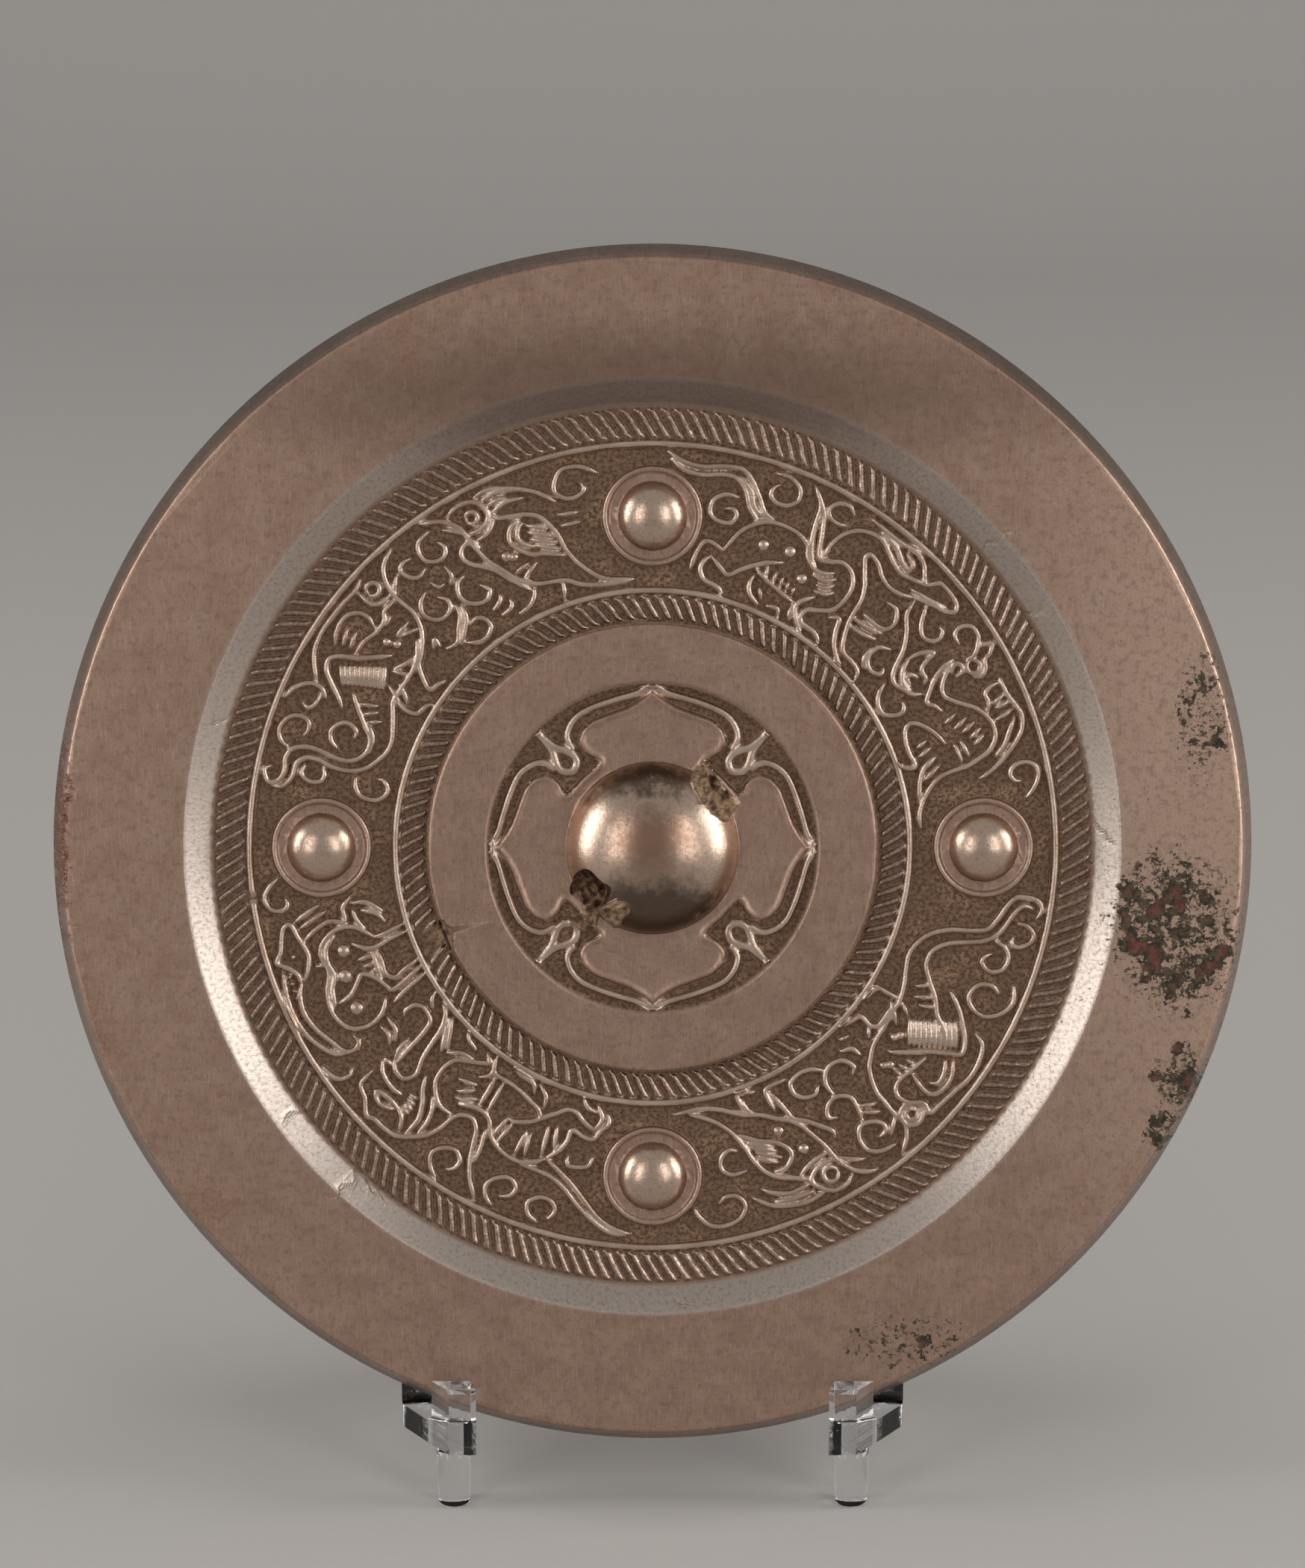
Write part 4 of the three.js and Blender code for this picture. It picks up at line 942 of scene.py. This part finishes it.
# ---- Mirror: bronze and its corrosion -----------------------------------------------------------
# Warm satin bronze on the rim and flat ring, rubbed silvery on the knob and nipples.  Dark earth is
# left in the ground of the casting, and black, red and tan corrosion stands on parts of the rim.

bronze = bpy.data.materials.new("mirror bronze")
bronze.use_nodes = True
tree = bronze.node_tree
metal = tree.nodes["Principled BSDF"]


def node(kind, inputs=(), **settings):
    """A new node; inputs maps a socket's name or number to a value or to another node's output."""
    made = tree.nodes.new("ShaderNode" + kind)
    for name, value in settings.items():
        setattr(made, name, value)
    for socket, value in dict(inputs).items():
        if isinstance(value, bpy.types.NodeSocket):
            tree.links.new(value, made.inputs[socket])
        else:
            made.inputs[socket].default_value = value
    return made


def maths(operation, first, second=0.5, third=0.5):
    """The result of one sum on values or sockets."""
    return node("Math", {0: first, 1: second, 2: third}, operation=operation).outputs[0]


def vector(operation, first, second=(0, 0, 0), third=(0, 0, 0)):
    """The result of one sum on vectors."""
    return node("VectorMath", {0: first, 1: second, 2: third}, operation=operation)


def step(value, low, high):
    """0 below low, 1 above high and a smooth change between."""
    inputs = {"Value": value, "From Min": low, "From Max": high}
    return node("MapRange", inputs, interpolation_type="SMOOTHSTEP").outputs["Result"]


def blend(share, first, second):
    """A colour between first and second."""
    made = node("Mix", {0: share}, data_type="RGBA")
    for socket, value in ((6, first), (7, second)):
        if isinstance(value, bpy.types.NodeSocket):
            tree.links.new(value, made.inputs[socket])
        else:
            made.inputs[socket].default_value = (*value, 1)
    return made.outputs[2]


def noise(coordinates, scale, detail=4.0, roughness=0.55):
    """Noise around 0.5 with the given number of waves per unit of the coordinates."""
    inputs = {"Vector": coordinates, "Scale": scale, "Detail": detail, "Roughness": roughness}
    return node("TexNoise", inputs).outputs["Fac"]


def attribute(name):
    """A value kept at the mesh's points."""
    return node("Attribute", attribute_name=name).outputs["Fac"]


def any_of(*masks):
    """The greatest of several masks."""
    result = masks[0]
    for mask in masks[1:]:
        result = maths("MAXIMUM", result, mask)
    return result


def both(first, second):
    """Where two masks meet."""
    return maths("MULTIPLY", first, second)


# Places on the mirror's face in millimetres from its middle, and the same stirred for ragged edges.
uv = node("UVMap", uv_map="plan").outputs[0]
centred = vector("SUBTRACT", uv, (0.5, 0.5, 0)).outputs[0]
plan_mm = vector("MULTIPLY", centred, (2 * RIM_RADIUS, 2 * RIM_RADIUS, 0)).outputs[0]
distance = vector("LENGTH", plan_mm).outputs["Value"]
direction = vector("NORMALIZE", plan_mm).outputs[0]
stir = node("TexNoise", {"Vector": plan_mm, "Scale": 0.40, "Detail": 6.0, "Roughness": 0.68})
stir_middle = vector("SUBTRACT", stir.outputs["Color"], (0.5, 0.5, 0.5)).outputs[0]
stirred = vector("MULTIPLY_ADD", stir_middle, (9, 9, 0), plan_mm).outputs[0]


def patch(x, y, across, tall, soft=0.35):
    """A ragged oval patch on the face, given by its middle and half sizes in millimetres."""
    away = vector("SUBTRACT", stirred, (x, y, 0)).outputs[0]
    away = vector("MULTIPLY", away, (1 / across, 1 / tall, 0)).outputs[0]
    return step(vector("LENGTH", away).outputs["Value"], 1 + soft, 1 - soft)


crest = attribute("crest")
grit = attribute("grit")
worn = attribute("worn")
satin = attribute("satin")
reflecting = attribute("reflecting")
cast_side = maths("SUBTRACT", 1.0, reflecting)
on_rim = both(step(distance, BEVEL_FOOT - 0.4, BEVEL_FOOT + 0.8), cast_side)
on_bevel = both(on_rim, step(distance, RIM_INNER + 0.6, RIM_INNER - 0.4))
on_ring = both(step(distance, RING_INNER - 0.4, RING_INNER + 0.1),
               step(distance, RING_OUTER + 0.3, RING_OUTER - 0.1))
on_ring = both(on_ring, cast_side)
in_comb = any_of(both(step(distance, 53.9, 54.2), step(distance, 58.9, 58.3)),
                 both(step(distance, 30.0, 30.3), step(distance, 34.0, 33.6)))
cloudy = noise(plan_mm, 0.22, 6, 0.62)
mottled = noise(plan_mm, 0.9, 6, 0.70)
grain = noise(plan_mm, 3.2, 5, 0.65)
speckle = noise(plan_mm, 1.9, 6, 0.72)
pitting = noise(plan_mm, 1.15, 9, 0.78)
islands = noise(plan_mm, 0.34, 7, 0.62)

# Fine lines left by turning and rubbing: noise drawn out round the mirror's middle.
along_turn = vector("MULTIPLY", direction, (2.4, 2.4, 0)).outputs[0]
outwards = node("CombineXYZ", {2: maths("MULTIPLY", distance, 7.0)}).outputs[0]
polish = noise(vector("ADD", along_turn, outwards).outputs[0], 1.0, 4, 0.75)
brushed = noise(vector("MULTIPLY", plan_mm, (5.0, 0.35, 0)).outputs[0], 1.0, 4, 0.7)

rim_colour = blend(step(cloudy, 0.30, 0.70), (0.365, 0.240, 0.182), (0.435, 0.300, 0.232))
# The rim is lighter over its right side.
bright_side = both(patch(72, 8, 20, 52, 0.7), on_rim)
rim_colour = blend(maths("MULTIPLY", bright_side, 0.65), rim_colour, (0.560, 0.400, 0.315))
rim_colour = blend(maths("MULTIPLY", step(mottled, 0.50, 0.60), 0.42), rim_colour, (0.250, 0.165, 0.122))
rim_colour = blend(maths("MULTIPLY", step(speckle, 0.53, 0.66), 0.45), rim_colour, (0.190, 0.122, 0.090))
rim_colour = blend(maths("MULTIPLY", step(brushed, 0.50, 0.72), 0.50), rim_colour, (0.560, 0.450, 0.380))
bevel_colour = blend(step(speckle, 0.45, 0.68), (0.560, 0.500, 0.455), (0.380, 0.315, 0.270))
rim_colour = blend(on_bevel, rim_colour, bevel_colour)
# Painted shade: the top of the rim and its bevel are darkened where they face down, away from the light.
painted_shade_top_of_rim = both(patch(0, 60, 46, 8, 0.7), on_rim)
rim_colour = blend(maths("MULTIPLY", painted_shade_top_of_rim, 0.62), rim_colour, (0.150, 0.096, 0.070))
crest_colour = blend(step(cloudy, 0.36, 0.64), (0.640, 0.510, 0.425), (0.500, 0.375, 0.300))
comb_colour = blend(step(speckle, 0.38, 0.62), (0.460, 0.350, 0.282), (0.260, 0.182, 0.140))
worn_colour = blend(step(speckle, 0.45, 0.72), (0.580, 0.445, 0.355), (0.420, 0.300, 0.228))
ground_colour = blend(step(speckle, 0.38, 0.60), (0.090, 0.052, 0.033), (0.230, 0.140, 0.088))
tan_spots = both(step(cloudy, 0.50, 0.66), step(speckle, 0.44, 0.58))
ground_colour = blend(tan_spots, ground_colour, (0.350, 0.222, 0.135))

bare = any_of(step(crest, 0.10, 0.45), on_rim, on_ring)
bare = maths("MULTIPLY", bare, maths("SUBTRACT", 1.0, maths("MULTIPLY", step(grain, 0.5, 0.75), 0.25)))
colour = blend(in_comb, crest_colour, comb_colour)
colour = blend(any_of(on_rim, on_ring, satin), colour, rim_colour)
colour = blend(worn, colour, worn_colour)
colour = blend(bare, ground_colour, colour)
back_colour = blend(step(cloudy, 0.30, 0.70), (0.300, 0.205, 0.155), (0.420, 0.300, 0.235))
back_colour = blend(maths("MULTIPLY", step(mottled, 0.48, 0.62), 0.55), back_colour, (0.170, 0.112, 0.082))
colour = blend(reflecting, colour, back_colour)

# Corrosion on the rim: smooth red islands with a green-black fringe, in fields of black dots.
# Each field has its middle across and up, half width, half height, softness and strength.
CORROSION_FIELDS = [
    (69.5, -11.0, 8.5, 11.0, 0.45, 1.0), (70.5, -31.0, 4.0, 4.6, 0.35, 1.0),
    (67.5, -37.5, 2.4, 2.8, 0.35, 1.0), (72.5, 18.0, 3.8, 9.0, 0.35, 0.75),
    (64.5, -8.0, 4.0, 6.0, 0.35, 1.0), (34.0, -66.0, 8.5, 4.0, 0.35, 0.72),
]
field = any_of(*[maths("MULTIPLY", patch(*place), strength) for *place, strength in CORROSION_FIELDS])
field = both(field, cast_side)
patchy = maths("MULTIPLY_ADD", field, 0.28, islands)
red_places = any_of(patch(69.5, -12, 9, 10, 0.5), patch(71, -31, 4, 5, 0.5))
red = both(both(red_places, step(patchy, 0.838, 0.856)), field)
black = both(step(patchy, 0.762, 0.780), step(field, 0.2, 0.6))
dots = both(step(maths("MULTIPLY_ADD", field, 0.120, pitting), 0.605, 0.635), step(field, 0.05, 0.5))
around_field = both(patch(68, -6, 15, 44, 0.8), cast_side)
spots = both(around_field, step(pitting, 0.618, 0.645))
crust_edge = both(patch(-79.2, 6, 1.7, 26, 0.5), step(pitting, 0.40, 0.52))
rust_specks = both(step(cloudy, 0.49, 0.60), step(noise(plan_mm, 0.75, 7, 0.8), 0.605, 0.655))
tan = any_of(patch(-59.5, -47, 3.8, 3.2), patch(-74, -28, 2.2, 9), patch(-32.5, 66.5, 2.4, 3.2),
             maths("MULTIPLY", rust_specks, any_of(on_rim, on_ring)))
tan = both(tan, step(speckle, 0.40, 0.60))
pits = step(pitting, 0.668, 0.695)
red_colour = blend(step(mottled, 0.42, 0.62), (0.105, 0.034, 0.026), (0.185, 0.070, 0.050))
crust_colour = blend(step(grain, 0.42, 0.62), (0.090, 0.034, 0.020), (0.330, 0.115, 0.055))
fringe_colour = blend(step(mottled, 0.42, 0.60), (0.030, 0.030, 0.020), (0.105, 0.078, 0.045))
colour = blend(maths("MULTIPLY", tan, 0.65), colour, (0.215, 0.115, 0.064))
colour = blend(any_of(black, spots, dots), colour, fringe_colour)
colour = blend(red, colour, red_colour)
colour = blend(crust_edge, colour, crust_colour)
colour = blend(maths("MULTIPLY", pits, 0.85), colour, (0.050, 0.032, 0.022))
# The knob's crown is painted brown, partly as patina and partly as a painted dark reflection.
crown_patina_and_reflection = both(patch(0, 1.6, 4.6, 4.2, 0.6), worn)
colour = blend(maths("MULTIPLY", crown_patina_and_reflection, 0.9), colour, (0.300, 0.178, 0.120))
# Below and above the crown the knob is darkened, partly by stain and partly by painted shade and dark
# reflection.
knob_stain_and_shade = both(any_of(patch(0.5, -8.0, 10.0, 4.6, 0.5), patch(0, 9.8, 7.0, 1.8, 0.8)), worn)
colour = blend(maths("MULTIPLY", knob_stain_and_shade, 0.88), colour, (0.080, 0.056, 0.040))
rim_side = step(distance, 78.15, 78.9)
colour = blend(maths("MULTIPLY", rim_side, 0.45), colour, (0.085, 0.068, 0.056))
earth = blend(step(mottled, 0.40, 0.60), (0.100, 0.062, 0.040), (0.420, 0.280, 0.165))
colour = blend(grit, colour, earth)

cast_skin = maths("SUBTRACT", 1.0, any_of(on_rim, on_ring, worn, satin, reflecting, step(crest, 0.05, 0.35)))
crust = any_of(black, spots, dots, red, crust_edge, pits, maths("MULTIPLY", tan, 0.6), grit)
metallic = maths("MULTIPLY", any_of(bare, reflecting), maths("SUBTRACT", 1.0, maths("MULTIPLY", crust, 0.95)))
rough = maths("MULTIPLY_ADD", polish, 0.16, 0.32)
rough = maths("MULTIPLY_ADD", maths("SUBTRACT", speckle, 0.5), 0.35, rough)
rough = maths("MULTIPLY_ADD", worn, -0.20, rough)
rough = maths("MULTIPLY_ADD", both(step(crest, 0.05, 0.3), maths("SUBTRACT", 1.0, satin)), -0.12, rough)
rough = maths("MULTIPLY_ADD", on_bevel, -0.04, rough)
rough = maths("MULTIPLY_ADD", reflecting, -0.22, rough)
dull = maths("MULTIPLY", maths("SUBTRACT", 1.0, metallic), 0.72)
rough = maths("MAXIMUM", rough, maths("MULTIPLY", dull, maths("SUBTRACT", 1.0, maths("MULTIPLY", red, 0.45))))

relief = maths("MULTIPLY", both(grain, cast_skin), 0.09)
relief = maths("MULTIPLY_ADD", both(speckle, cast_skin), 0.14, relief)
relief = maths("MULTIPLY_ADD", speckle, 0.040, relief)
relief = maths("MULTIPLY_ADD", any_of(pits, spots, dots), -0.06, relief)
relief = maths("MULTIPLY_ADD", both(polish, any_of(worn, on_bevel)), 0.020, relief)
relief = maths("MULTIPLY_ADD", brushed, 0.010, relief)
relief = maths("MULTIPLY_ADD", any_of(black, red), 0.10, relief)
relief = maths("MULTIPLY_ADD", both(crust_edge, pitting), 0.30, relief)
relief = maths("MULTIPLY_ADD", both(grit, mottled), 0.30, relief)
bumps = node("Bump", {"Height": relief, "Strength": 0.7, "Distance": 0.001})
tree.links.new(colour, metal.inputs["Base Color"])
tree.links.new(metallic, metal.inputs["Metallic"])
metal.inputs["Specular IOR Level"].default_value = 0.25
tree.links.new(rough, metal.inputs["Roughness"])
tree.links.new(bumps.outputs[0], metal.inputs["Normal"])
mesh.materials.clear()
mesh.materials.append(bronze)
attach(mirror, "root")
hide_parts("mirror")

# ---- Stand: horseshoe bar -----------------------------------------------------------------------
# Cut from one block of clear acrylic and flame polished: a half ring whose two arms end in slanted
# lugs.  A round-cornered notch behind each lug takes the mirror's edge.

ring_low, ring_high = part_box("stand_ring")
FRONT_Y = ring_low[1] / MM
BAR_BOTTOM = ring_low[2] / MM
LUG_TOP = ring_high[2] / MM
BAR_OUTER = ring_high[0] / MM
BAR_WIDTH, BAR_TOP = 6.0, 15.2
LUG_DEPTH, NOTCH_WIDTH, NOTCH_BOTTOM, NOTCH_ROUND = 3.4, 7.6, 11.4, 1.5
LUG_INNER, LUG_FACE = 23.4, 3.6
HALF_RING_FROM = 17.0

# Light passes many walls of the clear block before it comes out.
scene.cycles.max_bounces = 20
scene.cycles.transmission_bounces = 20
scene.cycles.glossy_bounces = 10
acrylic = bpy.data.materials.new("clear acrylic")
acrylic.use_nodes = True
tree = acrylic.node_tree
clear = tree.nodes["Principled BSDF"]
clear.inputs["Base Color"].default_value = (0.985, 0.99, 1.0, 1)
clear.inputs["IOR"].default_value = 1.49
clear.inputs["Transmission Weight"].default_value = 1.0
object_place = node("TexCoord").outputs["Object"]
smear = noise(vector("MULTIPLY", object_place, (900, 900, 2600)).outputs[0], 1.0, 3)
tree.links.new(step(smear, 0.35, 2.6), clear.inputs["Roughness"])
ripple = noise(vector("MULTIPLY", object_place, (60, 60, 1400)).outputs[0], 1.0, 2)
tree.links.new(node("Bump", {"Height": ripple, "Strength": 0.12, "Distance": 0.0002}).outputs[0],
               clear.inputs["Normal"])


def edge_curve(corner, before, after, count=7):
    """A quarter of an oval from one point to another, bowed towards the corner: the two points'
    distances from the corner shrink with the sine and cosine of the same angle."""
    turn = np.linspace(0, pi / 2, count)[:, None]
    corner, before, after = (np.array(point) for point in (corner, before, after))
    return corner + (before - corner) * (1 - np.sin(turn)) + (after - corner) * (1 - np.cos(turn))


def horseshoe():
    """A four-cornered section carried from one lug round to the other.  A station has its distance
    behind the lugs' faces, its inner and outer edge, and its top, which follows lug, notch and bar."""
    back, bottom = LUG_DEPTH + NOTCH_WIDTH, NOTCH_BOTTOM
    tops = np.concatenate([
        [(0.0, LUG_TOP - 0.5), (0.5, LUG_TOP), (LUG_DEPTH - 0.02, LUG_TOP)],
        edge_curve((LUG_DEPTH, bottom), (LUG_DEPTH, bottom + NOTCH_ROUND),
                   (LUG_DEPTH + NOTCH_ROUND, bottom)),
        edge_curve((back, bottom), (back - NOTCH_ROUND, bottom), (back, bottom + NOTCH_ROUND)),
        [(back + 0.02, BAR_TOP), (11.4, BAR_TOP), (14.0, BAR_TOP), (HALF_RING_FROM, BAR_TOP)],
    ])
    y, top = tops.T
    inner_radius = BAR_OUTER - BAR_WIDTH
    inner = np.interp(y, [0, 2.2, 8.8, 20], [LUG_INNER, LUG_INNER, inner_radius, inner_radius])
    outer = np.interp(y, [0, 8.4, 8.9, 9.6, 10.4, 11.4],
                      [LUG_INNER + LUG_FACE, BAR_OUTER - 0.8, BAR_OUTER - 0.45, BAR_OUTER - 0.18,
                       BAR_OUTER - 0.04, BAR_OUTER])
    arm_inner = np.stack([inner, y], -1)
    arm_outer = np.stack([outer, y], -1)
    turn = np.linspace(0, pi, 73)[1:-1, None]
    around = np.concatenate([np.cos(turn), np.sin(turn)], 1)
    flip = np.array([-1, 1])
    middle = np.array([0, HALF_RING_FROM])
    inside = np.concatenate([arm_inner, middle + inner_radius * around, arm_inner[::-1] * flip])
    outside = np.concatenate([arm_outer, middle + BAR_OUTER * around, arm_outer[::-1] * flip])
    top = np.concatenate([top, np.full(len(turn), BAR_TOP), top[::-1]])
    low = np.full(len(top), BAR_BOTTOM)
    corners = [(inside, low), (outside, low), (outside, top), (inside, top)]
    points = np.stack([np.column_stack([plan[:, 0], plan[:, 1] + FRONT_Y, z])
                       for plan, z in corners], 1)
    faces = grid_faces(len(points), 4, around=True)[:, ::-1]
    last = 4 * (len(points) - 1)
    ends = np.array([[0, 1, 2, 3], [last + 3, last + 2, last + 1, last]])
    return points.reshape(-1, 3) * MM, np.concatenate([faces, ends])


def acrylic_piece(name, points, faces, node_name, bevel):
    """A clear piece with small polished bevels along its sharp edges, in a CAD piece's place."""
    thing = mesh_object(name, points, faces, smooth=False)
    finish = thing.modifiers.new("polished edges", "BEVEL")
    finish.width = bevel * MM
    finish.segments = 2
    finish.limit_method = "ANGLE"
    finish.angle_limit = radians(35)
    thing.data.materials.append(acrylic)
    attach(thing, "root")
    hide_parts(node_name)
    return thing


acrylic_piece("horseshoe_bar", *horseshoe(), "stand_ring", 0.22)

# ---- Stand: pegs --------------------------------------------------------------------------------
# Three short round pegs turned from clear acrylic rod and cemented under the bar.  They taper a
# little to the foot, and the lathe has left faint lines round them.


def peg(node_name):
    """A turned profile carried round the axis: flat ends, small rounded edges and a slight taper."""
    low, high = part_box(node_name)
    middle = (np.array(low) + np.array(high)) / 2 / MM
    bottom, top = low[2] / MM, high[2] / MM
    wide = (high[0] - low[0]) / 2 / MM
    foot = wide - 0.2
    profile = np.array([
        (0, bottom), (foot - 0.45, bottom), (foot - 0.2, bottom + 0.06), (foot - 0.05, bottom + 0.2),
        (foot, bottom + 0.45), (foot + 0.07, (2 * bottom + top) / 3),
        (foot + 0.14, (bottom + 2 * top) / 3), (wide, top - 0.02), (wide - 0.02, top), (0, top),
    ])
    turn = np.linspace(0, 2 * pi, 48, endpoint=False)
    rings = profile[1:-1]
    x = rings[:, :1] * np.cos(turn) + middle[0]
    y = rings[:, :1] * np.sin(turn) + middle[1]
    z = np.repeat(rings[:, 1:], len(turn), 1)
    points = np.stack([x, y, z], -1).reshape(-1, 3)
    faces = grid_faces(len(rings), len(turn), around=True).tolist()
    last = len(points) - len(turn)
    faces += [list(range(len(turn)))[::-1], list(range(last, len(points)))]
    return points * MM, faces


for side in ("left", "right", "back"):
    thing = mesh_object("peg_" + side, *peg("stand_peg_" + side))
    thing.data.set_sharp_from_angle(angle=radians(50))
    thing.data.materials.append(acrylic)
    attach(thing, "root")
    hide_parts("stand_peg_" + side)

# ---- Stand: back rest ---------------------------------------------------------------------------
# A strip of clear acrylic, bent warm to a gentle bow and cemented on the back of the bar.  Its top
# end is cut at a slant, so that it lies flat against the mirror's smooth side.

arm_low, arm_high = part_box("stand_back_arm")
ARM_HALF = (arm_high[0] - arm_low[0]) / 2 / MM
ARM_THICK = 5.0
ARM_FOOT = np.array([22.4, arm_low[2] / MM])
ARM_BEND = np.array([21.4, BAR_TOP + 24.0])
ARM_TOP = np.array([-11.4, MIRROR_MIDDLE.z / MM - 26.0])


def back_rest():
    """A curved strip: its middle line is a weighted sum of foot, bend and top (weights (1-t)^2,
    2t(1-t), t^2), its faces lie half a thickness to each side, and each face ends at the mirror."""
    t = np.linspace(0, 1, 400)[:, None]
    line = (1 - t) ** 2 * ARM_FOOT + 2 * t * (1 - t) * ARM_BEND + t**2 * ARM_TOP
    along = 2 * (1 - t) * (ARM_BEND - ARM_FOOT) + 2 * t * (ARM_TOP - ARM_BEND)
    along /= np.linalg.norm(along, axis=1, keepdims=True)
    across = np.stack([along[:, 1], -along[:, 0]], -1) * ARM_THICK / 2
    faces = []
    for edge in (line + across, line - across):
        behind = world_to_mirror(np.column_stack([edge[:, 0] * 0, edge * MM]))[2]
        until = np.argmax(behind > -REFLECTING_SAG - 0.3)
        share = np.linspace(0, until, 33)
        faces.append(np.stack([np.interp(share, np.arange(len(edge)), edge[:, k])
                               for k in (0, 1)], -1))
    rear, front = faces
    rear[0, 1] = front[0, 1] = ARM_FOOT[1]
    sides = [(-ARM_HALF, rear), (ARM_HALF, rear), (ARM_HALF, front), (-ARM_HALF, front)]
    points = np.stack([np.column_stack([np.full(len(edge), x), edge]) for x, edge in sides], 1)
    last = 4 * (len(points) - 1)
    ends = np.array([[0, 1, 2, 3], [last + 3, last + 2, last + 1, last]])
    strips = grid_faces(len(points), 4, around=True)[:, ::-1]
    return points.reshape(-1, 3) * MM, np.concatenate([strips, ends])


acrylic_piece("back_rest", *back_rest(), "stand_back_arm", 0.3)
